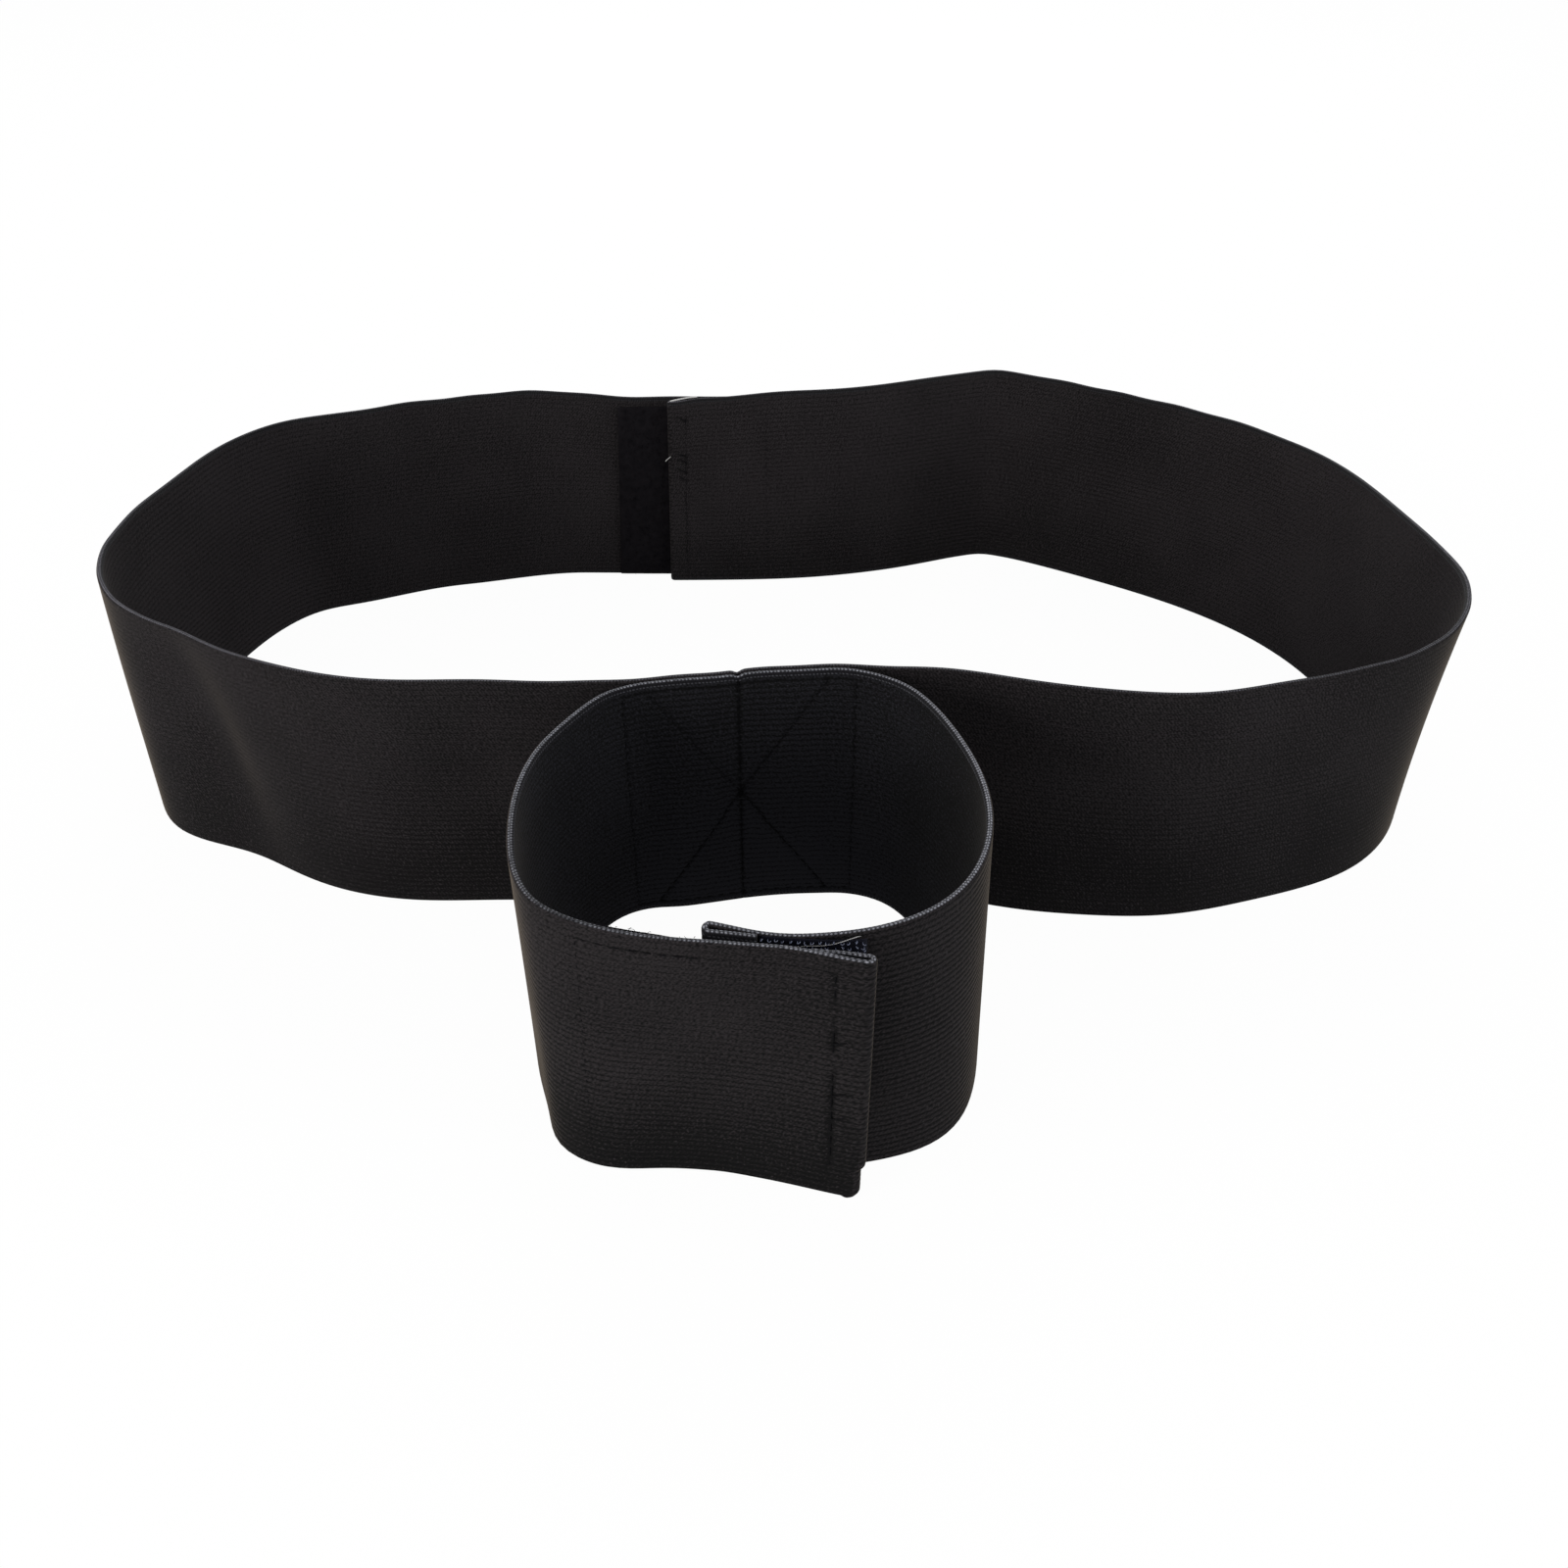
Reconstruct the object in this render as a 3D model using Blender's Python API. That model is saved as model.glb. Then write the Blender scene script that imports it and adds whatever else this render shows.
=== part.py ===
"""Two-loop elastic belt: a wide waist loop with a small cuff loop sewn to its front.

Both loops are strips of the same black elastic standing on edge. Each one is closed by
hook-and-loop tape where its outer end laps over its inner end. The cuff's back lies flat on
the front of the waist loop and is held there by a boxed and crossed seam.

Metres, +Z up. The origin is the centre of the base of the bounding box. The strips stand on
z = 0, and the front of the belt, where the cuff is, looks along -Y.
"""

import math

import bmesh
import bpy
import numpy as np
from mathutils import Vector
from mathutils.geometry import delaunay_2d_cdt

MM = 0.001

# ---------------------------------------------------------------- sizes of the elastic
BAND_WIDTH = 75.0 * MM          # height of both strips as they stand
BAND_T = 1.6 * MM               # thickness of the elastic
TAPE_T = 1.6 * MM               # hook tape or loop tape, with its backing
GAP = 0.3 * MM                  # clearance left between pieces that touch
THREAD_T = 0.4 * MM             # how far a line of stitching stands off the cloth
THREAD_W = 0.6 * MM             # width of a line of stitching
HEM = 10.0 * MM                 # turned-back end of every strip
HEM_STITCH = 5.0 * MM           # from a strip's end to its cross row of stitches
TAPE_STITCH = 2.0 * MM          # from a tape's edge to the row of stitches along it

# ---------------------------------------------------------------- sizes of the waist loop
WAIST_ACROSS = 393.5 * MM       # outside, side to side
WAIST_ALONG = 214.1 * MM        # outside, front to back, without the lap
WAIST_LAP = 40.0 * MM           # how far the outer end runs past the inner end
WAIST_INNER_END = 0.5552        # share of the loop from the seam to the inner end
WAIST_LOOP_TAPE = 50.0 * MM     # length of tape on the outer end
WAIST_HOOK_TAPE = 26.0 * MM     # length of tape on the inner end
WAIST_TAPE_LOW = 0.5 * MM       # from the strip's lower edge to its tapes
WAIST_TAPE_HIGH = 4.5 * MM      # from its upper edge to its tapes
WAIST_OUTER_NECK = 3.5 * MM     # how much lower the top edge runs at the outer end
WAIST_INNER_NECK = 1.9 * MM     # the same at the inner end
WAIST_NECK_RUN = 52.0 * MM      # run over which the top edge comes down
WAIST_LEAVE = 44.0 * MM         # run over which the outer end steps out past the inner one
WAIST_LEAD = 34.0 * MM          # run beside the inner end's line before the lap begins

# ---------------------------------------------------------------- sizes of the cuff loop
CUFF_SIDE = 107.0 * MM          # outside, side to side
CUFF_REACH = 93.5 * MM          # from the waist loop's middle line to the cuff's front
CUFF_LAP = 29.5 * MM
CUFF_INNER_END = 0.5387         # share of the cuff from the seam's centre to the inner end
CUFF_LOOP_TAPE = 50.0 * MM
CUFF_HOOK_TAPE = 22.0 * MM
CUFF_TAPE_LOW = 2.0 * MM
CUFF_TAPE_HIGH = 2.0 * MM
CUFF_LEAVE = 36.0 * MM
CUFF_LEAD = 1.0 * MM
CUFF_FLARE = 4.0 * MM           # how far the free tip of the flap stands off
CUFF_FLARE_RUN = 20.0 * MM

# ---------------------------------------------------------------- sizes of the seam
SEAM_BOX = 61.0 * MM            # length of the boxed seam along the strips
SEAM_EDGE = 2.5 * MM            # from the strips' edges to the box
CROSS_INSET = 7.0 * MM          # from the box's upright lines to the ends of the cross
PANEL_MARGIN = 3.0 * MM         # cloth between the box and the fold on each side
PANEL_EASE_LEFT = 6.5 * MM      # how far inside the box the strips begin to part
PANEL_EASE_RIGHT = 2.5 * MM

# ---------------------------------------------------------------- where the strips bend
# Shares of the waist loop's length, from the seam.
WAIST_BEND_FRONT_LEFT = 0.1643
WAIST_BEND_BACK_LEFT = 0.3167
WAIST_BEND_FRONT_RIGHT = 0.1950
WAIST_BEND_BACK_RIGHT = 0.3197
PEEL_MARGIN = 3.5 * MM                # from the end of a tape to the line it peels at

# ---------------------------------------------------------------- how the loops lie, in plan
# Shares of the half width and of the half length, to the right and to the back.
WAIST_PLAN = (
    (0.017, -0.897), (0.119, -0.893), (0.272, -0.925), (0.425, -0.985), (0.552, -1.000),
    (0.700, -0.938), (0.874, -0.797), (0.966, -0.597), (1.000, -0.371), (0.983, -0.107),
    (0.956, 0.128), (0.882, 0.407), (0.774, 0.618), (0.634, 0.800), (0.512, 0.933),
    (0.415, 1.000), (0.333, 0.972), (0.221, 0.891), (0.078, 0.829), (-0.106, 0.804),
    (-0.300, 0.802), (-0.494, 0.795), (-0.652, 0.738), (-0.790, 0.631), (-0.856, 0.580),
    (-0.912, 0.467), (-0.963, 0.241), (-1.000, -0.098), (-0.984, -0.380), (-0.907, -0.599),
    (-0.769, -0.772), (-0.626, -0.897), (-0.519, -0.940), (-0.341, -0.943), (-0.162, -0.934),
)
SEAM_AT = -0.042                # where the seam is, as a share of the half width

# Shares of the cuff's half width and of its reach, from the seam to the right and forwards.
CUFF_PLAN_RIGHT = (
    (0.762, 0.052), (0.903, 0.156), (1.016, 0.312), (1.085, 0.506), (1.060, 0.731),
    (0.950, 0.875), (0.780, 0.976), (0.556, 1.028), (0.292, 1.030), (0.028, 1.013),
)
CUFF_PLAN_LEFT = (
    (-0.292, 0.998), (-0.556, 0.990), (-0.726, 0.952), (-0.838, 0.860), (-0.901, 0.703),
    (-0.913, 0.530), (-0.856, 0.336), (-0.744, 0.190), (-0.623, 0.098),
)

LAP_STEP = BAND_T + 2 * TAPE_T + 3 * GAP      # middle line to middle line across a lap
SAMPLES = 3000
STATION = 3.0 * MM               # spacing of the breaks along a strip
REACH = 0.6 * MM                 # half the chord that gives a curve's direction


def solve_closed_spline(points):
    """Return a dense closed curve through the points, smooth to its second derivative."""
    knots = np.asarray(points, dtype=float)
    count = len(knots)
    chord = np.linalg.norm(np.roll(knots, -1, axis=0) - knots, axis=1)
    before = np.roll(chord, 1)
    matrix = np.zeros((count, count))
    rows = np.arange(count)
    matrix[rows, rows] = 2 * (before + chord)
    matrix[rows, (rows - 1) % count] += before
    matrix[rows, (rows + 1) % count] += chord
    slope = (np.roll(knots, -1, axis=0) - knots) / chord[:, None]
    bend = np.linalg.solve(matrix, 6 * (slope - np.roll(slope, 1, axis=0)))
    steps = max(8, SAMPLES // count)
    part = np.arange(steps) / steps
    spans = []
    for index in range(count):
        after = (index + 1) % count
        length = chord[index]
        left = 1 - part
        here = left[:, None] * knots[index] + part[:, None] * knots[after]
        lift = ((left**3 - left)[:, None] * bend[index]
                + (part**3 - part)[:, None] * bend[after]) * length**2 / 6
        spans.append(here + lift)
    return np.vstack(spans)


class Loop:
    """A closed plan curve measured along its length, both ways from its start.

    Distances grow to the right of the seam and shrink to its left.
    """

    def __init__(self, points, start, forward):
        dense = solve_closed_spline(points)
        first = int(np.argmin(np.linalg.norm(dense - start, axis=1)))
        dense = np.roll(dense, -first, axis=0)
        dense[0] = start if np.linalg.norm(dense[0] - start) < 1e-9 else dense[0]
        closed = np.vstack([dense, dense[:1]])
        steps = np.linalg.norm(np.diff(closed, axis=0), axis=1)
        self.along = np.concatenate([[0.0], np.cumsum(steps)])
        self.curve = closed
        self.length = self.along[-1]
        self.forward = forward

    def at(self, distance):
        """Return the points at some distances along the loop."""
        wrapped = np.mod(np.atleast_1d(distance), self.length)
        x = np.interp(wrapped, self.along, self.curve[:, 0])
        y = np.interp(wrapped, self.along, self.curve[:, 1])
        return np.stack([x, y], axis=1)

    def outward(self, distance):
        """Return the unit directions pointing out of the loop."""
        distance = np.atleast_1d(distance)
        ahead = self.at(distance + REACH) - self.at(distance - REACH)
        ahead /= np.linalg.norm(ahead, axis=1)[:, None]
        return np.stack([ahead[:, 1], -ahead[:, 0]], axis=1) * self.forward

    def shifted(self, distance, offset):
        """Return points moved out of the loop by an offset."""
        return self.at(distance) + self.outward(distance) * np.atleast_1d(offset)[:, None]


def smooth_ramp(value, start, end):
    """Go from 0 at start to 1 at end without a corner."""
    share = np.clip((np.asarray(value, dtype=float) - start) / (end - start), 0, 1)
    return share * share * (3 - 2 * share)


class Strip:
    """A strip that follows a loop, with an outer end that steps out past its inner end."""

    def __init__(self, loop, inner_end, lap, leave, lead):
        self.loop = loop
        self.inner_end = inner_end
        self.outer_end = inner_end - lap - loop.length
        self.stepped = loop.length - inner_end - lead
        self.leave = leave
        self.flare = (0.0, 1.0)
        self.neck = (0.0, 0.0, 1.0)
        self.tape_edges = (0.0, 0.0)

    def offset(self, distance):
        """Return how far out of the loop the strip's middle line lies."""
        distance = np.atleast_1d(distance).astype(float)
        step = LAP_STEP * smooth_ramp(-distance, self.stepped - self.leave, self.stepped)
        flare, flare_run = self.flare
        free = np.clip((self.outer_end + flare_run - distance) / flare_run, 0, 1)
        return np.where(distance < 0, step + flare * free**2, 0.0)

    def top(self, distance):
        """Return the height of the strip's upper edge."""
        outer, inner, run = self.neck
        distance = np.atleast_1d(distance).astype(float)
        outer_drop = outer * smooth_ramp(-distance, self.stepped - run / 2, self.stepped + run / 2)
        inner_drop = inner * smooth_ramp(distance, self.inner_end - run, self.inner_end)
        return BAND_WIDTH - outer_drop - inner_drop

    def point(self, distance, extra=0.0):
        """Return points on the strip, moved out of the loop by an extra offset."""
        return self.loop.shifted(distance, self.offset(distance) + extra)

    def side(self, distance):
        """Return the strip's own unit normals, which point out of the loop."""
        distance = np.atleast_1d(distance)
        ahead = self.point(distance + REACH) - self.point(distance - REACH)
        ahead /= np.linalg.norm(ahead, axis=1)[:, None]
        return np.stack([ahead[:, 1], -ahead[:, 0]], axis=1) * self.loop.forward


# ---------------------------------------------------------------- building in Blender
MATERIALS = {}


def material(name, colour, roughness):
    """Return a named material with the piece's colour and roughness."""
    if name not in MATERIALS:
        made = bpy.data.materials.new(name)
        made.use_nodes = True
        shader = made.node_tree.nodes["Principled BSDF"]
        shader.inputs["Base Color"].default_value = (*colour, 1.0)
        shader.inputs["Roughness"].default_value = roughness
        shader.inputs["Metallic"].default_value = 0.0
        MATERIALS[name] = made
    return MATERIALS[name]


def clear_scene():
    """Remove whatever the file holds."""
    for thing in list(bpy.data.objects):
        bpy.data.objects.remove(thing, do_unlink=True)


def add_axis(name, place, parent=None):
    """Add an empty on a bend line, the parent of what turns about it."""
    axis = bpy.data.objects.new(name, None)
    axis.empty_display_size = 20 * MM
    bpy.context.collection.objects.link(axis)
    origin = np.zeros(2) if parent is None else np.array(parent["place"])
    axis["place"] = [float(place[0]), float(place[1])]
    axis.parent = parent
    axis.location = (place[0] - origin[0], place[1] - origin[1], 0.0)
    return axis


def ribbon_shell(middle, normal, half, low, high):
    """Return the corners and faces of one upright ribbon with a closed skin.

    The four corners at each station run low inside, low outside, high outside, high inside.
    """
    middle = np.asarray(middle)
    normal = np.asarray(normal)
    count = len(middle)
    half = np.broadcast_to(half, count)[:, None]
    low = np.broadcast_to(low, count)[:, None]
    high = np.broadcast_to(high, count)[:, None]
    inner = middle - normal * half
    outer = middle + normal * half
    corners = np.stack([
        np.hstack([inner, low]), np.hstack([outer, low]),
        np.hstack([outer, high]), np.hstack([inner, high]),
    ], axis=1).reshape(-1, 3)
    faces = [(0, 1, 2, 3)]
    for station in range(count - 1):
        here = 4 * station
        for corner in range(4):
            after = (corner + 1) % 4
            faces.append((here + corner, here + 4 + corner, here + 4 + after, here + after))
    last = 4 * (count - 1)
    faces.append((last + 3, last + 2, last + 1, last))
    return corners, faces


def add_piece(name, shells, look, parent):
    """Add one object made of one or more closed shells."""
    corners = []
    faces = []
    for shell_corners, shell_faces in shells:
        start = sum(len(part) for part in corners)
        corners.append(shell_corners)
        faces.extend([tuple(start + index for index in face) for face in shell_faces])
    corners = np.vstack(corners)
    origin = np.zeros(2) if parent is None else np.array(parent["place"])
    corners[:, :2] -= origin
    mesh = bpy.data.meshes.new(name)
    mesh.from_pydata(corners.tolist(), [], faces)
    mesh.validate()
    face_out(mesh)
    mesh.materials.append(look)
    piece = bpy.data.objects.new(name, mesh)
    piece.parent = parent
    bpy.context.collection.objects.link(piece)
    return piece


def face_out(mesh):
    """Turn every face outwards, shell by shell."""
    work = bmesh.new()
    work.from_mesh(mesh)
    bmesh.ops.recalc_face_normals(work, faces=work.faces)
    work.to_mesh(mesh)
    work.free()


def stations(start, end):
    """Return distances from start to end, breaking at the same places for every piece."""
    low, high = min(start, end), max(start, end)
    marks = np.arange(math.ceil(low / STATION), math.floor(high / STATION) + 1) * STATION
    marks = marks[(marks > low + 0.3 * STATION) & (marks < high - 0.3 * STATION)]
    run = np.concatenate([[low], marks, [high]])
    return run if end > start else run[::-1]


def round_nose(strip, hinge, way):
    """Return stations, middle line, normals and half widths of a round end on a bend line.

    way is +1 where the strip runs on to larger distances and -1 where it runs to smaller.
    """
    turns = np.radians(np.array([80, 60, 40, 20]))
    centre = strip.point(hinge)[0]
    normal = strip.side(hinge)[0]
    ahead = np.array([-normal[1], normal[0]]) * strip.loop.forward * way
    half = BAND_T / 2
    middle = centre - ahead * (half * np.sin(turns))[:, None]
    return middle, np.repeat(normal[None], len(turns), axis=0), half * np.cos(turns)


def turned_hem(strip, end, way, side):
    """Return the middle line and normals of an end turned back on itself.

    way points to the end, and side is +1 where the hem lies outside the loop.
    """
    radius = (BAND_T + GAP) / 2
    centre = strip.point(end)[0]
    normal = strip.side(end)[0]
    ahead = np.array([-normal[1], normal[0]]) * strip.loop.forward * way
    pivot = centre + normal * side * radius
    turns = np.radians(np.arange(20, 180, 20))
    middle = (pivot - normal * side * radius * np.cos(turns)[:, None]
              + ahead * radius * np.sin(turns)[:, None])
    facing = (normal * np.cos(turns)[:, None] - ahead * side * np.sin(turns)[:, None])
    back = stations(end, end - way * HEM)
    middle = np.vstack([middle, strip.point(back) + strip.side(back) * side * 2 * radius])
    facing = np.vstack([facing, -strip.side(back)])
    return middle, facing


def band_piece(strip, start, end, nose_at_start=False, blunt_end=False, hem_side=0):
    """Return the shell of one length of elastic from start to end along the strip.

    nose_at_start rounds its start about a bend line, blunt_end stops it short of the next
    bend line, and hem_side turns its end back on itself.
    """
    way = 1.0 if end > start else -1.0
    stop = end - way * (BAND_T / 2 + GAP) if blunt_end else end
    run = stations(start, stop)
    middle = strip.point(run)
    normal = strip.side(run)
    half = np.full(len(run), BAND_T / 2)
    high = strip.top(run)
    if nose_at_start:
        nose = round_nose(strip, start, way)
        middle = np.vstack([nose[0], middle])
        normal = np.vstack([nose[1], normal])
        half = np.concatenate([nose[2], half])
        high = np.concatenate([np.full(len(nose[0]), high[0]), high])
    if hem_side:
        hem = turned_hem(strip, stop, way, hem_side)
        middle = np.vstack([middle, hem[0]])
        normal = np.vstack([normal, hem[1]])
        half = np.concatenate([half, np.full(len(hem[0]), BAND_T / 2)])
        high = np.concatenate([high, np.full(len(hem[0]), high[-1])])
    return ribbon_shell(middle, normal, half, 0.0, high)


def tape_piece(strip, start, end, side):
    """Return the shell of a tape sewn to one side of a strip."""
    run = stations(start, end)
    rise = side * (BAND_T / 2 + GAP + TAPE_T / 2)
    middle = strip.point(run) + strip.side(run) * rise
    return ribbon_shell(middle, strip.side(run), TAPE_T / 2, *strip.tape_edges)


def level_line(start, end, low):
    """Return the outline of a level line of stitching, in distances along and up."""
    return [(start, low), (end, low), (end, low + THREAD_W), (start, low + THREAD_W)]


def upright_line(at, low, high):
    """Return the outline of a line of stitching that stands across a strip."""
    left = at - THREAD_W / 2
    return [(left, low), (left + THREAD_W, low), (left + THREAD_W, high), (left, high)]


def slanting_line(start, end):
    """Return the outline of a line of stitching between two points along and up."""
    run = np.array(end) - np.array(start)
    across = np.array([-run[1], run[0]]) / np.linalg.norm(run) * THREAD_W / 2
    return [tuple(np.array(start) - across), tuple(np.array(end) - across),
            tuple(np.array(end) + across), tuple(np.array(start) + across)]


def thread_web(strip, outlines, side):
    """Return one closed shell of crossing lines of stitching on one face of a strip.

    The outlines are joined flat, in distances along and up, and then laid on the strip.
    """
    flat = [point for outline in outlines for point in outline]
    faces = [list(range(4 * index, 4 * index + 4)) for index in range(len(outlines))]
    left = min(point[0] for point in flat)
    right = max(point[0] for point in flat)
    edges = []
    for at in stations(left, right)[1:-1]:
        edges.append((len(flat), len(flat) + 1))
        flat.extend([(at, 0.0), (at, BAND_WIDTH)])
    # Worked in millimetres, which suits the joining step's own tolerance.
    joined = delaunay_2d_cdt([Vector((x / MM, z / MM)) for x, z in flat], edges, faces, 0, 1e-4)
    triangles = [face for face, source in zip(joined[2], joined[5]) if source]
    used = sorted({index for face in triangles for index in face})
    order = {index: place for place, index in enumerate(used)}
    triangles = [tuple(order[index] for index in face) for face in triangles]
    along = np.array([joined[0][index][0] for index in used]) * MM
    up = np.array([joined[0][index][1] for index in used]) * MM
    near = side * (BAND_T / 2 + GAP)
    far = near + side * THREAD_T
    rises = []
    for rise in (near, far):
        place = strip.point(along) + strip.side(along) * rise
        rises.append(np.column_stack([place, up]))
    count = len(used)
    walls = []
    seen = {}
    for face in triangles:
        for first, second in zip(face, face[1:] + face[:1]):
            seen[(first, second)] = True
    for first, second in seen:
        if (second, first) not in seen:
            walls.append((second, first, first + count, second + count))
    back = [tuple(reversed([index + count for index in face])) for face in triangles]
    return np.vstack(rises), triangles + back + walls


def tape_stitching(strip, start, end, side):
    """Return the box of stitching that holds a tape, on the face away from it."""
    low = strip.tape_edges[0] + TAPE_STITCH
    high = strip.tape_edges[1] - TAPE_STITCH - THREAD_W
    left, right = min(start, end), max(start, end)
    return thread_web(strip, [
        level_line(left, right, low),
        level_line(left, right, high),
        upright_line(left + THREAD_W / 2, low, high + THREAD_W),
        upright_line(right - THREAD_W / 2, low, high + THREAD_W),
    ], side)


def waist_points():
    """Return the plan points of the waist loop's middle line about its own centre."""
    scale = np.array([WAIST_ACROSS - BAND_T, WAIST_ALONG - BAND_T]) / 2
    return np.asarray(WAIST_PLAN) * scale


def build():
    """Build the belt."""
    clear_scene()
    elastic = material("elastic", (0.012, 0.011, 0.011), 0.75)
    cuff_elastic = material("cuff_elastic", (0.012, 0.012, 0.015), 0.75)
    loop_look = material("loop_tape", (0.008, 0.008, 0.011), 0.95)
    hook_look = material("hook_tape", (0.010, 0.010, 0.014), 0.5)
    thread_look = material("thread", (0.006, 0.006, 0.007), 0.6)

    # The waist loop's plan, and the cuff's, whose back follows the waist loop's front.
    raw = waist_points()
    dense = solve_closed_spline(raw)
    front = dense[dense[:, 1] < 0]
    seam_x = SEAM_AT * (WAIST_ACROSS - BAND_T) / 2
    seam_point = front[int(np.argmin(np.abs(front[:, 0] - seam_x)))]
    waist_loop = Loop(raw, seam_point, 1.0)

    panel_step = BAND_T + GAP
    panel_run = np.linspace(PANEL_EASE_LEFT - SEAM_BOX / 2, SEAM_BOX / 2 - PANEL_EASE_RIGHT, 10)
    panel = waist_loop.shifted(panel_run, panel_step)
    cuff_scale = np.array([CUFF_SIDE / 2, -CUFF_REACH])
    to_right = np.asarray(CUFF_PLAN_RIGHT) * cuff_scale + seam_point
    to_left = np.asarray(CUFF_PLAN_LEFT) * cuff_scale + seam_point
    cuff_points = np.vstack([panel, to_right, to_left])
    cuff_start = waist_loop.shifted(0.0, panel_step)[0]
    cuff_loop = Loop(cuff_points, cuff_start, -1.0)

    # The whole belt is centred on the origin.
    waist = Strip(waist_loop, WAIST_INNER_END * waist_loop.length, WAIST_LAP, WAIST_LEAVE,
                  WAIST_LEAD)
    waist.neck = (WAIST_OUTER_NECK, WAIST_INNER_NECK, WAIST_NECK_RUN)
    waist.tape_edges = (WAIST_TAPE_LOW, BAND_WIDTH - WAIST_TAPE_HIGH)
    cuff = Strip(cuff_loop, CUFF_INNER_END * cuff_loop.length, CUFF_LAP, CUFF_LEAVE, CUFF_LEAD)
    cuff.flare = (CUFF_FLARE, CUFF_FLARE_RUN)
    cuff.tape_edges = (CUFF_TAPE_LOW, BAND_WIDTH - CUFF_TAPE_HIGH)
    outline = []
    for strip in (waist, cuff):
        run = np.linspace(strip.outer_end, strip.inner_end, 4000)
        for face in (-1, 1):
            outline.append(strip.point(run) + strip.side(run) * face * BAND_T / 2)
    outline = np.vstack(outline)
    centre = (outline.min(axis=0) + outline.max(axis=0)) / 2
    waist_loop.curve = waist_loop.curve - centre
    cuff_loop.curve = cuff_loop.curve - centre

    # Bend lines.
    left_front = -WAIST_BEND_FRONT_LEFT * waist_loop.length
    left_back = -WAIST_BEND_BACK_LEFT * waist_loop.length
    waist_tape_start = waist.outer_end + HEM + GAP + WAIST_LOOP_TAPE
    waist_peel = waist_tape_start + PEEL_MARGIN
    right_front = WAIST_BEND_FRONT_RIGHT * waist_loop.length
    right_back = WAIST_BEND_BACK_RIGHT * waist_loop.length
    cuff_edge = SEAM_BOX / 2 + PANEL_MARGIN
    cuff_tape_start = cuff.outer_end + HEM + GAP + CUFF_LOOP_TAPE
    cuff_peel = cuff_tape_start + PEEL_MARGIN

    axis_left_front = add_axis("axis_waist_front_left", waist.point(left_front)[0])
    axis_left_back = add_axis("axis_waist_back_left", waist.point(left_back)[0],
                              axis_left_front)
    axis_peel = add_axis("axis_waist_peel", waist.point(waist_peel)[0], axis_left_back)
    axis_right_front = add_axis("axis_waist_front_right", waist.point(right_front)[0])
    axis_right_back = add_axis("axis_waist_back_right", waist.point(right_back)[0],
                               axis_right_front)
    axis_cuff_left = add_axis("axis_cuff_left", cuff.point(-cuff_edge)[0])
    axis_cuff_peel = add_axis("axis_cuff_peel", cuff.point(cuff_peel)[0], axis_cuff_left)
    axis_cuff_right = add_axis("axis_cuff_right", cuff.point(cuff_edge)[0])

    # The waist strip: its front, its two sides, and its two ends.
    front_run = (left_front + BAND_T / 2 + GAP, right_front - BAND_T / 2 - GAP)
    add_piece("waist_front", [band_piece(waist, *front_run)], elastic, None)
    add_piece("waist_left_side",
              [band_piece(waist, left_front, left_back, True, True)],
              elastic, axis_left_front)
    add_piece("waist_left_back",
              [band_piece(waist, left_back, waist_peel, True, True)],
              elastic, axis_left_back)
    add_piece("waist_outer_end",
              [band_piece(waist, waist_peel, waist.outer_end, True, False, -1)],
              elastic, axis_peel)
    add_piece("waist_right_side",
              [band_piece(waist, right_front, right_back, True, True)],
              elastic, axis_right_front)
    add_piece("waist_inner_end",
              [band_piece(waist, right_back, waist.inner_end, True, False, 1)],
              elastic, axis_right_back)

    # The waist strip's tapes and their stitching.
    add_piece("waist_loop_tape",
              [tape_piece(waist, waist_tape_start, waist.outer_end + HEM + GAP, -1)],
              loop_look, axis_peel)
    waist_hook_end = waist.inner_end - HEM - GAP - WAIST_HOOK_TAPE
    add_piece("waist_hook_tape",
              [tape_piece(waist, waist_hook_end, waist.inner_end - HEM - GAP, 1)],
              hook_look, axis_right_back)
    add_piece("waist_loop_stitching",
              [tape_stitching(waist, waist_tape_start, waist.outer_end + HEM_STITCH, 1)],
              thread_look, axis_peel)
    add_piece("waist_hook_stitching",
              [tape_stitching(waist, waist_hook_end, waist.inner_end - HEM_STITCH, -1)],
              thread_look, axis_right_back)

    # The cuff strip: the panel sewn to the waist strip, its two sides and its flap.
    panel_ends = (-cuff_edge + BAND_T / 2 + GAP, cuff_edge - BAND_T / 2 - GAP)
    add_piece("cuff_panel", [band_piece(cuff, *panel_ends)], cuff_elastic, None)
    add_piece("cuff_left_side",
              [band_piece(cuff, -cuff_edge, cuff_peel, True, True)],
              cuff_elastic, axis_cuff_left)
    add_piece("cuff_flap",
              [band_piece(cuff, cuff_peel, cuff.outer_end, True, False, -1)],
              cuff_elastic, axis_cuff_peel)
    add_piece("cuff_right_side",
              [band_piece(cuff, cuff_edge, cuff.inner_end, True, False, 1)],
              cuff_elastic, axis_cuff_right)

    # The cuff's tapes and their stitching.
    add_piece("cuff_loop_tape",
              [tape_piece(cuff, cuff_tape_start, cuff.outer_end + HEM + GAP, -1)],
              loop_look, axis_cuff_peel)
    cuff_hook_end = cuff.inner_end - HEM - GAP - CUFF_HOOK_TAPE
    add_piece("cuff_hook_tape",
              [tape_piece(cuff, cuff_hook_end, cuff.inner_end - HEM - GAP, 1)],
              hook_look, axis_cuff_right)
    add_piece("cuff_loop_stitching",
              [tape_stitching(cuff, cuff_tape_start, cuff.outer_end + HEM_STITCH, 1)],
              thread_look, axis_cuff_peel)
    add_piece("cuff_hook_stitching",
              [tape_stitching(cuff, cuff_hook_end, cuff.inner_end - HEM_STITCH, -1)],
              thread_look, axis_cuff_right)

    add_seam(waist, cuff, thread_look)


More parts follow.
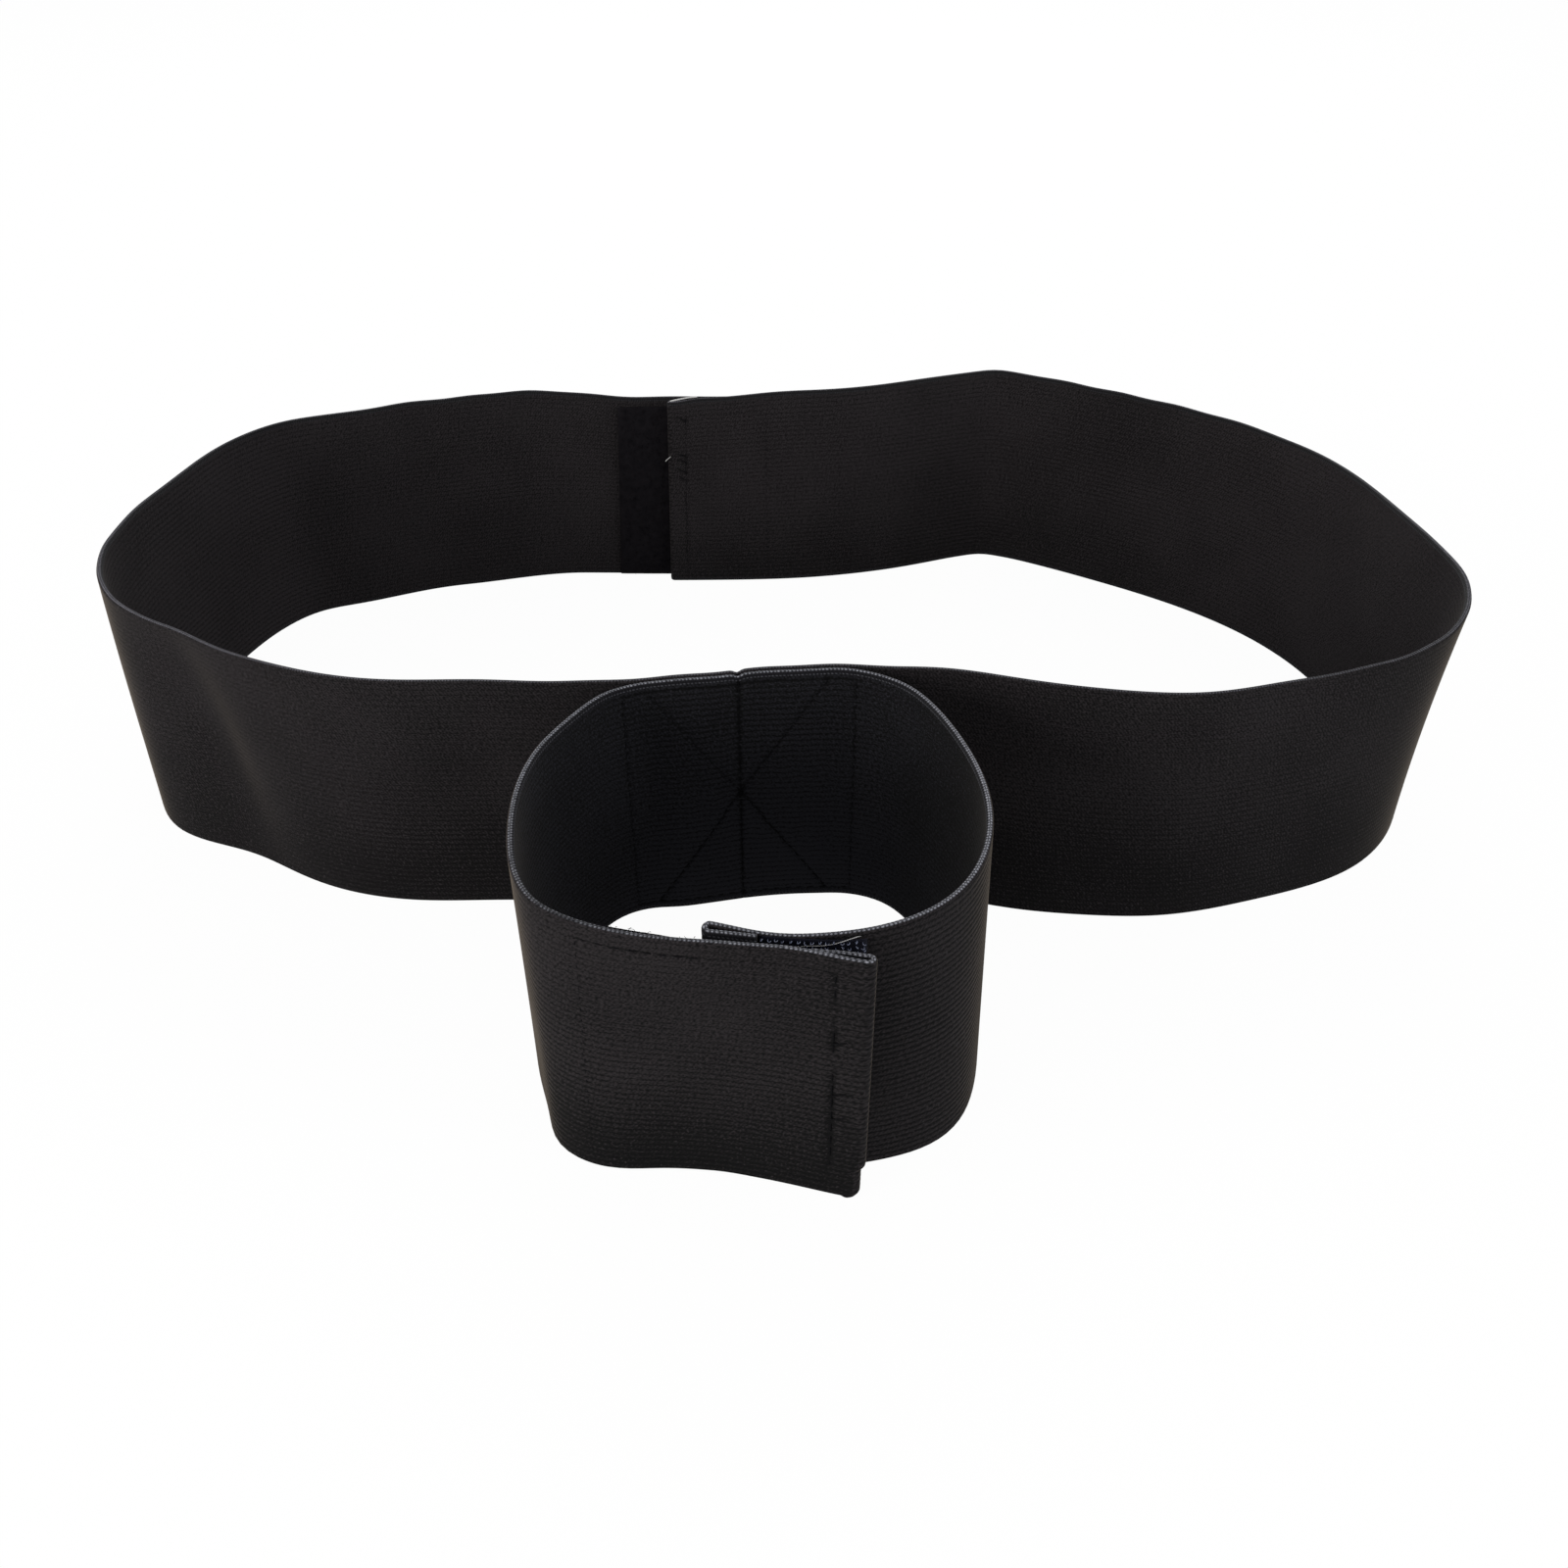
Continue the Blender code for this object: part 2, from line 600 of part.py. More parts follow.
def add_seam(waist, cuff, look):
    """Add the seam's two threads: one on the cuff's inside, one on the waist's inside."""
    half = SEAM_BOX / 2
    low = SEAM_EDGE
    high = BAND_WIDTH - SEAM_EDGE - THREAD_W
    reach = half - CROSS_INSET
    foot = low + THREAD_W / 2
    head = high + THREAD_W / 2
    lines = [
        level_line(-half, half, low),
        level_line(-half, half, high),
        upright_line(-half + THREAD_W / 2, low, high + THREAD_W),
        upright_line(half - THREAD_W / 2, low, high + THREAD_W),
        upright_line(0.0, low, high + THREAD_W),
        slanting_line((-reach, foot), (reach, head)),
        slanting_line((-reach, head), (reach, foot)),
    ]
    add_piece("seam_needle_thread", [thread_web(cuff, lines, -1)], look, None)
    add_piece("seam_bobbin_thread", [thread_web(waist, lines, -1)], look, None)


build()
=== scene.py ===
"""Looks of a two-loop elastic belt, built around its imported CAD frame.

The belt is a wide waist loop with a small cuff loop sewn to its front. Both loops are
lengths of the same knitted elastic that stand on edge, and both close with hook tape and
loop tape where their outer end laps over their inner end.

Every surface is worked out on a grid: one direction runs along a strip, the other runs
across it. Lengths are metres, and the frame is the CAD model's own.
"""

from __future__ import annotations

import logging
import math
from dataclasses import dataclass, field
from enum import Enum
from typing import Sequence

import bpy
import numpy as np
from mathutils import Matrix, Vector

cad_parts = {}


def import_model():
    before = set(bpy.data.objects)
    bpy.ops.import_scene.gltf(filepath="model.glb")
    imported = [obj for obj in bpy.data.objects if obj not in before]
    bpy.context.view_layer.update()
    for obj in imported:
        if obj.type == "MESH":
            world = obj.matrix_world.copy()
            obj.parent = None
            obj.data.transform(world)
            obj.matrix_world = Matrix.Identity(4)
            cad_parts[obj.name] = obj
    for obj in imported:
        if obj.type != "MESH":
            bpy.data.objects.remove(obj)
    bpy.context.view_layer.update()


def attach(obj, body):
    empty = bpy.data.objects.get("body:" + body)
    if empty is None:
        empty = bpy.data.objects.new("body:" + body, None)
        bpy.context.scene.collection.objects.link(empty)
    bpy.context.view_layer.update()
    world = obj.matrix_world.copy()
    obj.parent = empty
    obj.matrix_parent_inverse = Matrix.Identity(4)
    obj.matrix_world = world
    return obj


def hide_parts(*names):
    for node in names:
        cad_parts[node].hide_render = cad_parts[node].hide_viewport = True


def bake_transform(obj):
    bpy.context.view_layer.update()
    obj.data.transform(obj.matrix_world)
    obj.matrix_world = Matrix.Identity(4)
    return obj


MM = 0.001
LOG = logging.getLogger("belt")
Array = np.ndarray
# Directions are taken between points this far to each side.
NEARBY = 0.6 * MM
# A mesh still to be made: corners, faces and flat places.
Shape = tuple[Array, Array, Array]
MATH = "ShaderNodeMath"
NOISE = "ShaderNodeTexNoise"
RANGE = "ShaderNodeMapRange"
MIX = "ShaderNodeMix"
# The elastic's sizes, in the cloth map's millimetres.
WIDTH_MM = 75.0
THICK_MM = 1.6
RIBS = 43
RIB_MM = (WIDTH_MM - THICK_MM) / RIBS
# The cloth map shows the inner face this many ribs above the outer one.
INNER_RIBS = 90
INNER_RISE = INNER_RIBS * RIB_MM
INNER_FROM = 100.0
WHITE = (1.0, 1.0, 1.0, 1.0)


# ------------------------------------------------------------------ small helpers
def linear(code: str) -> tuple[float, float, float, float]:
    """Turn an sRGB hex colour into the linear colour that a shader takes.

    Args:
        code: A hash and six hex digits.

    Returns:
        Linear red, green, blue and an alpha of one.
    """
    shares = [int(code[place:place + 2], 16) / 255 for place in (1, 3, 5)]
    bent = [share / 12.92 if share <= 0.04045 else ((share + 0.055) / 1.055) ** 2.4
            for share in shares]
    return (*bent, 1.0)


def smooth_ramp(value: Array, start: float, end: float) -> Array:
    """Return three squares less two cubes of the share of the way from start to end."""
    share = np.clip((np.asarray(value, dtype=float) - start) / (end - start), 0, 1)
    return share * share * (3 - 2 * share)


def bell(value: Array, centre: float, width: float) -> Array:
    """Return e to the minus square of the distance from a centre over a width."""
    return np.exp(-(((np.asarray(value, dtype=float) - centre) / width) ** 2))


def feed(node: bpy.types.Node, inputs: dict) -> None:
    """Give a node its values and its links.

    Args:
        node: The node.
        inputs: Values, output sockets, or nodes whose first output is meant, by input
            name or number.
    """
    for name, value in inputs.items():
        if isinstance(value, bpy.types.Node):
            value = value.outputs[0]
        if isinstance(value, bpy.types.NodeSocket):
            node.id_data.links.new(value, node.inputs[name])
        else:
            node.inputs[name].default_value = value


def add_node(tree: bpy.types.NodeTree, kind: str, inputs: dict | Sequence = (),
             **settings: object) -> bpy.types.Node:
    """Add a shader node with its settings, values and links.

    Args:
        tree: The node tree that gets the node.
        kind: The node's type name.
        inputs: What each input is fed, by its name or number, or in order.
        settings: Properties of the node, by name.

    Returns:
        The new node.
    """
    node = tree.nodes.new(kind)
    for name, value in settings.items():
        setattr(node, name, value)
    feed(node, inputs if isinstance(inputs, dict) else dict(enumerate(inputs)))
    return node


def put_mesh(name: str, points: Array, quads: Array, cloth: Array,
             looks: Sequence[bpy.types.Material], slots: Array | None = None,
             caps: int = 0, **marks: Array) -> bpy.types.Object:
    """Put computed corners and four-sided faces into a new object.

    Args:
        name: The object's name.
        points: Corners, one row each.
        quads: Corner numbers of each face.
        cloth: Place of each corner on the flat cloth, along and up, in millimetres.
        looks: The object's materials.
        slots: Material number of each face.
        caps: How many of the last faces are cut ends, shaded flat.
        marks: Named values from 0 to 1 at each corner, which the materials read.

    Returns:
        The new object, at the origin.
    """
    mesh = bpy.data.meshes.new(name)
    mesh.vertices.add(len(points))
    mesh.vertices.foreach_set("co", points.astype(np.float32).ravel())
    mesh.loops.add(quads.size)
    mesh.loops.foreach_set("vertex_index", quads.astype(np.int32).ravel())
    mesh.polygons.add(len(quads))
    mesh.polygons.foreach_set("loop_start", np.arange(0, quads.size, 4, dtype=np.int32))
    mesh.polygons.foreach_set("use_smooth", np.arange(len(quads)) < len(quads) - caps)
    if slots is not None:
        mesh.polygons.foreach_set("material_index", slots.astype(np.int32))
    layer = mesh.uv_layers.new(name="cloth")
    layer.data.foreach_set("uv", cloth[quads.ravel()].astype(np.float32).ravel())
    for mark, values in marks.items():
        layer = mesh.attributes.new(mark, "FLOAT", "POINT")
        layer.data.foreach_set("value", values.astype(np.float32).ravel())
    for look in looks:
        mesh.materials.append(look)
    mesh.update(calc_edges=True)
    mesh.validate()
    made = bpy.data.objects.new(name, mesh)
    bpy.context.scene.collection.objects.link(made)
    return made


def tube_quads(stations: int, ring: int) -> Array:
    """Return the side faces of a closed ring carried along stations, facing outwards.

    Args:
        stations: How many copies of the ring there are.
        ring: Corners of the ring.

    Returns:
        Corner numbers of each face.
    """
    row, column = np.meshgrid(np.arange(stations - 1), np.arange(ring), indexing="ij")
    here = row * ring + column
    beside = row * ring + (column + 1) % ring
    return np.stack([here, here + ring, beside + ring, beside], axis=-1).reshape(-1, 4)


def closed_tube(stations: int, ring: int, flip: bool = False) -> Array:
    """Return the faces of a tube whose ends are closed.

    Each end is a ladder of faces between corners that pair up: number i with the last
    less i.

    Args:
        stations: How many copies of the ring there are.
        ring: Corners of the ring.
        flip: Whether the faces are turned over.

    Returns:
        Corner numbers of each face, the ends last.
    """
    index = np.arange(ring // 2 - 1)
    ladder = np.stack([index, index + 1, ring - 2 - index, ring - 1 - index], axis=-1)
    quads = np.concatenate([tube_quads(stations, ring), ladder,
                            (ladder + (stations - 1) * ring)[:, ::-1]])
    return quads[:, ::-1] if flip else quads


def there_and_back(outer: Array, inner: Array) -> Array:
    """Return values up the outer face of a section and back down its inner face."""
    return np.concatenate([outer, inner[:, ::-1]], axis=1)


def unit(vectors: Array) -> Array:
    """Return vectors, in the last axis, divided by their lengths."""
    return vectors / np.linalg.norm(vectors, axis=-1, keepdims=True)


def many_tubes(count: int, stations: int, ring: int, flip: bool) -> Array:
    """Return the faces of many closed tubes whose corners follow one another.

    Args:
        count: How many tubes there are.
        stations: Copies of the ring in each.
        ring: Corners of the ring.
        flip: Whether the faces are turned over.

    Returns:
        Corner numbers of each face.
    """
    starts = (np.arange(count) * stations * ring)[:, None, None]
    return (closed_tube(stations, ring, flip)[None] + starts).reshape(-1, 4)


# ------------------------------------------------------------------ how the loops lie
class PlanCurve:
    """A closed curve in plan, smooth to its second derivative, measured from a start point."""

    def __init__(self, points: Array, start: Array, forward: float, samples: int = 6000) -> None:
        """Pass a closed cubic spline through the points and measure along it.

        Args:
            points: Plan points in order.
            start: The point that distances are measured from.
            forward: 1 where the curve runs anticlockwise, -1 where it runs clockwise.
            samples: How many short chords stand for the curve.
        """
        dense = self.spline(points, samples)
        first = int(np.argmin(np.linalg.norm(dense - start, axis=1)))
        dense = np.roll(dense, -first, axis=0)
        closed = np.vstack([dense, dense[:1]])
        chords = np.linalg.norm(np.diff(closed, axis=0), axis=1)
        self.along = np.concatenate([[0.0], np.cumsum(chords)])
        self.curve = closed
        self.length = float(self.along[-1])
        self.forward = forward

    @staticmethod
    def spline(points: Array, samples: int) -> Array:
        """Return dense points: straight spans plus the lift of a closed cubic spline.

        The lift is the cube of each share less the share, times the bend at that knot,
        times the chord's square over six.

        Args:
            points: Plan points in order.
            samples: About how many dense points there are.

        Returns:
            Dense points, in order.
        """
        knots = np.asarray(points, dtype=float)
        count = len(knots)
        chord = np.linalg.norm(np.roll(knots, -1, axis=0) - knots, axis=1)
        before = np.roll(chord, 1)
        rows = np.arange(count)
        matrix = np.zeros((count, count))
        matrix[rows, rows] = 2 * (before + chord)
        matrix[rows, (rows - 1) % count] += before
        matrix[rows, (rows + 1) % count] += chord
        slope = (np.roll(knots, -1, axis=0) - knots) / chord[:, None]
        bend = np.linalg.solve(matrix, 6 * (slope - np.roll(slope, 1, axis=0)))
        steps = max(8, samples // count)
        part = (np.arange(steps) / steps)[None, :, None]
        left = 1 - part
        here = left * knots[:, None] + part * np.roll(knots, -1, axis=0)[:, None]
        lift = ((left**3 - left) * bend[:, None]
                + (part**3 - part) * np.roll(bend, -1, axis=0)[:, None])
        return (here + lift * chord[:, None, None] ** 2 / 6).reshape(-1, 2)

    def at(self, distance: Array) -> Array:
        """Return plan points on the curve.

        Args:
            distance: Distances along the curve, which wrap round it.

        Returns:
            Plan points, in the last axis.
        """
        wrapped = np.mod(distance, self.length)
        return np.stack([np.interp(wrapped, self.along, self.curve[:, 0]),
                         np.interp(wrapped, self.along, self.curve[:, 1])], axis=-1)

    def outward(self, distance: Array) -> Array:
        """Return unit directions out of the loop, square to the curve.

        Args:
            distance: Distances along the curve.

        Returns:
            Unit vectors, in the last axis.
        """
        ahead = unit(self.at(distance + NEARBY) - self.at(distance - NEARBY))
        return np.stack([ahead[..., 1], -ahead[..., 0]], axis=-1) * self.forward


@dataclass(frozen=True)
class Stock:
    """The elastic that both strips are cut from."""

    width: float = WIDTH_MM * MM
    thickness: float = THICK_MM * MM
    ribs: int = RIBS
    rib_height: float = 0.16 * MM
    tape: float = 1.6 * MM
    gap: float = 0.3 * MM
    hem: float = 10.0 * MM

    @property
    def rib_pitch(self) -> float:
        """Return the height of one rib."""
        return (self.width - self.thickness) / self.ribs

    @property
    def lap_step(self) -> float:
        """Return the middle line to middle line distance across a lap."""
        return self.thickness + 2 * self.tape + 3 * self.gap

    def half_profile(self, per_rib: int = 6) -> tuple[Array, Array, Array]:
        """Return heights, half thicknesses and rib valleys up one face of the strip.

        The half thickness is a quarter circle at each edge and even between them. The
        valleys are the rib height less its square-rooted sine over each rib's share.

        Args:
            per_rib: Corners for each rib.

        Returns:
            Heights, half thicknesses and valley depths, from the lower edge to the upper.
        """
        radius = self.thickness / 2
        turn = np.radians(np.array([9.0, 24.0, 38.0, 56.0, 74.0]))
        edge_height = radius * (1 - np.cos(turn))
        edge_half = radius * np.sin(turn)
        share = (np.arange(self.ribs * per_rib + 1)) / per_rib
        height = radius + share / self.ribs * (self.width - 2 * radius)
        swell = np.sqrt(np.abs(np.sin(np.pi * share)))
        heights = np.concatenate([edge_height, height, self.width - edge_height[::-1]])
        halves = np.concatenate([edge_half, np.full(len(height), radius), edge_half[::-1]])
        none = np.zeros(len(edge_half))
        return heights, halves, np.concatenate([none, self.rib_height * (1 - swell), none])


@dataclass(frozen=True)
class Bulge:
    """A place where the cloth stands out of its upright plane, or into it.

    The top, the foot and the belly are how far it stands out there, and the slant is how
    far its foot lies along from its top.
    """

    at: float
    width: float
    top: float
    foot: float
    slant: float = 0.0
    belly: float = 0.0

    @classmethod
    def rows(cls, *rows: Sequence[float]) -> tuple[Bulge, ...]:
        """Return a bulge for each row of sizes in millimetres."""
        return tuple(cls(*(size * MM for size in row)) for row in rows)


@dataclass(frozen=True)
class Stretch:
    """A stretch of one face that differs: in how its ribs show, or in the painted light and shade
    that pales or darkens its colour.

    It keeps to a soft band between its low and high shares of the strip's width.
    """

    face: float
    at: float
    width: float
    amount: float
    low: float = -1.0
    high: float = 2.0
    soft: float = 0.25

    @classmethod
    def rows(cls, *rows: Sequence[float]) -> tuple[Stretch, ...]:
        """Return a stretch for each row, whose place and width are in millimetres."""
        return tuple(cls(face, at * MM, width * MM, *rest) for face, at, width, *rest in rows)


@dataclass(frozen=True)
class Sway:
    """All of a loop's bulges."""

    bulges: tuple[Bulge, ...]
    around: float
    width: float

    def __call__(self, along: Array, up: Array) -> Array:
        """Return how far the cloth stands out.

        Each bulge is a bell along the strip, whose middle moves by the slant from top to
        foot, and whose height goes from its foot's to its top's in proportion, with a
        parabola of the belly's height between them.

        Args:
            along: Distances along the strip.
            up: Heights on the flat strip.

        Returns:
            Distances out of the loop.
        """
        share = np.asarray(up) / self.width
        total = np.zeros(np.broadcast(along, up).shape)
        for bulge in self.bulges:
            apart = np.asarray(along) - bulge.at - bulge.slant * (1 - share)
            apart = np.mod(apart + self.around / 2, self.around) - self.around / 2
            total = total + bell(apart, 0.0, bulge.width) * (
                bulge.foot + (bulge.top - bulge.foot) * share
                + bulge.belly * 4 * share * (1 - share))
        return total


@dataclass
class Strip:
    """One strip of elastic that follows a loop and laps over its own inner end.

    Distances along it start at the seam's centre and are positive to the right. Even says
    how plainly the ribs show on the outer face and on the inner one.
    """

    loop: PlanCurve
    stock: Stock
    inner_end: float
    lap: float
    leave: float
    lead: float
    flare: float = 0.0
    flare_run: float = 1.0
    outer_neck: float = 0.0
    inner_neck: float = 0.0
    neck_run: float = 1.0
    outer_skew: tuple[float, float] = (0.0, 0.0)
    inner_skew: tuple[float, float] = (0.0, 0.0)
    outer_tuck: tuple[float, float, float] = (0.0, 0.0, 0.0)
    skew_run: float = 26 * MM
    notch: float = 0.7 * MM
    notch_width: float = 1.1 * MM
    wobble: float = 0.14 * MM
    tape_low: float = 2.0 * MM
    tape_high: float = 2.0 * MM
    sway: tuple[Bulge, ...] = ()
    even: tuple[float, float] = (0.3, 0.5)
    mottle: float = 0.3
    stretches: tuple[Stretch, ...] = ()
    # Stretches of painted light and shade, which pale or darken the colour.
    wear: tuple[Stretch, ...] = ()
    dips: tuple[tuple[float, float, float], ...] = ()
    seams: list["Row"] = field(default_factory=list)

    @property
    def outer_end(self) -> float:
        """Return where the outer end is along the strip."""
        return self.inner_end - self.lap - self.loop.length

    @property
    def stepped(self) -> float:
        """Return how far left of the seam the strip has stepped out past its inner end."""
        return self.loop.length - self.inner_end - self.lead

    def offset(self, along: Array) -> Array:
        """Return how far out of the loop the middle line lies.

        It is a smooth ramp up to the lap, then the square of the share of the free flare.

        Args:
            along: Distances along the strip.

        Returns:
            Distances out of the loop.
        """
        step = self.stock.lap_step * smooth_ramp(-along, self.stepped - self.leave, self.stepped)
        free = np.clip((self.outer_end + self.flare_run - along) / self.flare_run, 0, 1)
        return np.where(along < 0, step + self.flare * free**2, 0.0)

    def top(self, along: Array) -> Array:
        """Return the height of the upper edge, which comes down towards each end.

        Two nested sines make it waver by a seventh of a millimetre, as relaxed knit does,
        a narrow bell notches it at the seam, and wider bells make it dip.

        Args:
            along: Distances along the strip.

        Returns:
            Heights above the floor.
        """
        half = self.neck_run / 2
        outer = smooth_ramp(-along, self.stepped - half, self.stepped + half)
        inner = smooth_ramp(along, self.inner_end - self.neck_run, self.inner_end)
        notch = self.notch * bell(along, 0.0, self.notch_width)
        wobble = self.wobble * np.sin(along / (4.7 * MM) + 3 * np.sin(along / (31 * MM)))
        dip = sum(deep * bell(along, at, wide) for at, wide, deep in self.dips)
        neck = self.outer_neck * outer + self.inner_neck * inner
        return self.stock.width - neck - notch - dip + wobble

    def middle(self, along: Array) -> Array:
        """Return plan points on the strip's middle line."""
        return self.loop.at(along) + self.loop.outward(along) * self.offset(along)[..., None]

    def side(self, along: Array) -> Array:
        """Return the strip's unit normals in plan, which point out of the loop.

        Args:
            along: Distances along the strip.

        Returns:
            Unit vectors, in the last axis.
        """
        ahead = unit(self.middle(along + NEARBY) - self.middle(along - NEARBY))
        return np.stack([ahead[..., 1], -ahead[..., 0]], axis=-1) * self.loop.forward

    def lean(self, along: Array, up: Array) -> Array:
        """Return how far the cloth sways out of its upright plane."""
        return Sway(self.sway, self.loop.length, self.stock.width)(along, up)

    def slip(self, along: Array, up: Array) -> Array:
        """Return how far the cloth lies along from its place, as its tips are cut askew.

        Each tip's skew goes from its foot's to its top's in proportion, and fades away
        from the tip. The outer tip's foot is also tucked back below a height, with a
        quarter circle at its corner.

        Args:
            along: Distances along the strip.
            up: Heights on the flat strip.

        Returns:
            Distances along the strip.
        """
        along, up = np.asarray(along), np.asarray(up)
        share = up / self.stock.width
        outer = 1 - smooth_ramp(along - self.outer_end, 2 * MM, self.skew_run)
        inner = 1 - smooth_ramp(self.inner_end - along, 2 * MM, self.skew_run)
        tall, back, radius = self.outer_tuck
        below = np.clip(radius - up, 0, radius)
        corner = radius - np.sqrt(radius**2 - below**2)
        tucked = back * (1 - smooth_ramp(up, tall - 0.8 * MM, tall + 0.8 * MM)) + corner
        skews = ((outer, self.outer_skew), (inner, self.inner_skew))
        return outer * tucked + sum(near * (foot + (top - foot) * share)
                                    for near, (foot, top) in skews)

    def patches(self, spots: Sequence[Stretch], along: Array, up: Array, face: float) -> Array:
        """Return the sum of the stretches of one face.

        Each adds its amount times a softened bell along the strip and a soft band up it.

        Args:
            spots: The stretches.
            along: Distances along the strip.
            up: Heights on the flat strip.
            face: 1 for the outside, -1 for the inside.

        Returns:
            The summed amounts.
        """
        share = up / self.stock.width
        total = np.zeros(np.broadcast(along, up).shape)
        for spot in (spot for spot in spots if spot.face == face):
            near = np.exp(-np.abs((along - spot.at) / spot.width) ** 4)
            soft = spot.soft
            band = smooth_ramp(share, spot.low, spot.low + soft) * (
                1 - smooth_ramp(share, spot.high - soft, spot.high))
            total = total + spot.amount * near * band
        return total

    def ribbing(self, along: Array, up: Array, face: float) -> Array:
        """Return how plainly the ribs show on one face, from 0 to 1.

        It starts at the face's even value, made uneven by slow sines, and the stretches
        add to it.

        Args:
            along: Distances along the strip.
            up: Heights on the flat strip.
            face: 1 for the outside, -1 for the inside.

        Returns:
            Shares of a rib's full height.
        """
        mottle = np.sin(along * 61 + 2 * np.sin(up * 83)) * np.sin(up * 71 + along * 37)
        even = self.even[0 if face > 0 else 1] * (1 + self.mottle * mottle)
        return np.clip(even + self.patches(self.stretches, along, up, face), 0.0, 1.0)

    def drift(self, along: Array, up: Array) -> Array:
        """Return how far the ribs ride up or down where the boxed seam gathers the cloth.

        A bell lifts them at the centre row, and inside the box a sine along the strip
        makes them wave, in step with a slower one up the strip. Both fade at the edges.

        Args:
            along: Distances along the strip.
            up: Heights on the flat strip.

        Returns:
            Heights to add.
        """
        box, past_box, row_width = 30 * MM, 36 * MM, 5 * MM
        ripple, ripple_run, slow_run, slow_rise = 0.3 * MM, 1.15 * MM, 7 * MM, 6.5 * MM
        inside = 1 - smooth_ramp(np.abs(along), box - MM, past_box)
        edges = np.sin(np.pi * np.clip(up / self.stock.width, 0, 1))
        lift = (0.9 * MM * bell(along, 0.0, 1.1 * row_width)
                - 0.35 * MM * bell(np.abs(along), box, row_width))
        phase = up / slow_rise
        wave = ripple * np.sin(along / ripple_run + 2.3 * np.sin(phase)) * (
            0.55 + 0.45 * np.sin(along / slow_run + phase * 1.7))
        return (lift + wave * inside) * edges

    def surface(self, along: Array, up: Array, out: Array) -> Array:
        """Map a place on the flat cloth to space.

        The point is the middle line's, moved along the normal by the sway and by its
        distance out of the cloth, at the height scaled to the strip's own top.

        Args:
            along: Distances along the strip.
            up: Heights on the flat strip.
            out: Distances out of the middle of the cloth.

        Returns:
            Points in space, in the last axis.
        """
        along, up, out = np.broadcast_arrays(along, up, out)
        side = self.side(along)
        ahead = np.stack([-side[..., 1], side[..., 0]], axis=-1) * self.loop.forward
        plan = self.middle(along) + side * (self.lean(along, up) + out)[..., None]
        plan = plan + ahead * self.slip(along, up)[..., None]
        height = (up + self.drift(along, up)) * self.top(along) / self.stock.width
        return np.concatenate([plan, height[..., None]], axis=-1)


# ------------------------------------------------------------------ stitching
@dataclass(frozen=True)
class Row:
    """A straight row of stitches on the flat cloth, from one place to another."""

    start: tuple[float, float]
    end: tuple[float, float]
    pitch: float = 3.2 * MM
    pull: float = 0.48 * MM
    uneven: float = 0.0
    width: float = 0.62 * MM
    run_in: tuple[float, float] = (-0.8 * MM, 0.4 * MM)

    @property
    def run(self) -> Array:
        """Return the row's vector on the flat cloth."""
        return np.subtract(self.end, self.start)

    @property
    def length(self) -> float:
        """Return the row's length."""
        return float(np.linalg.norm(self.run))

    def groove(self, along: Array, up: Array) -> Array:
        """Return how deep the row pulls the cloth in.

        A bell across the row, deepest at each needle hole, where a cosine along the row
        peaks, and slacker here and there by the row's unevenness.

        Args:
            along: Distances along the strip.
            up: Heights on the flat strip.

        Returns:
            Depths.
        """
        heading = self.run / self.length
        from_start = np.stack(np.broadcast_arrays(along - self.start[0], up - self.start[1]),
                              axis=-1)
        ahead = from_start @ heading
        beside = from_start @ np.array([-heading[1], heading[0]])
        inside = smooth_ramp(ahead, *self.run_in) * smooth_ramp(
            self.length - ahead, *self.run_in)
        hole, slack_run, slower_run = 0.18, 4.4 * MM, 7.3 * MM
        holes = 1 - hole + hole * np.cos(2 * np.pi * ahead / self.pitch)
        slack = 0.5 + 0.5 * np.sin(ahead / slack_run + 2 * np.sin(ahead / slower_run))
        tight = 1 - self.uneven * slack
        return self.pull * np.exp(-((beside / self.width) ** 2)) * inside * holes * tight


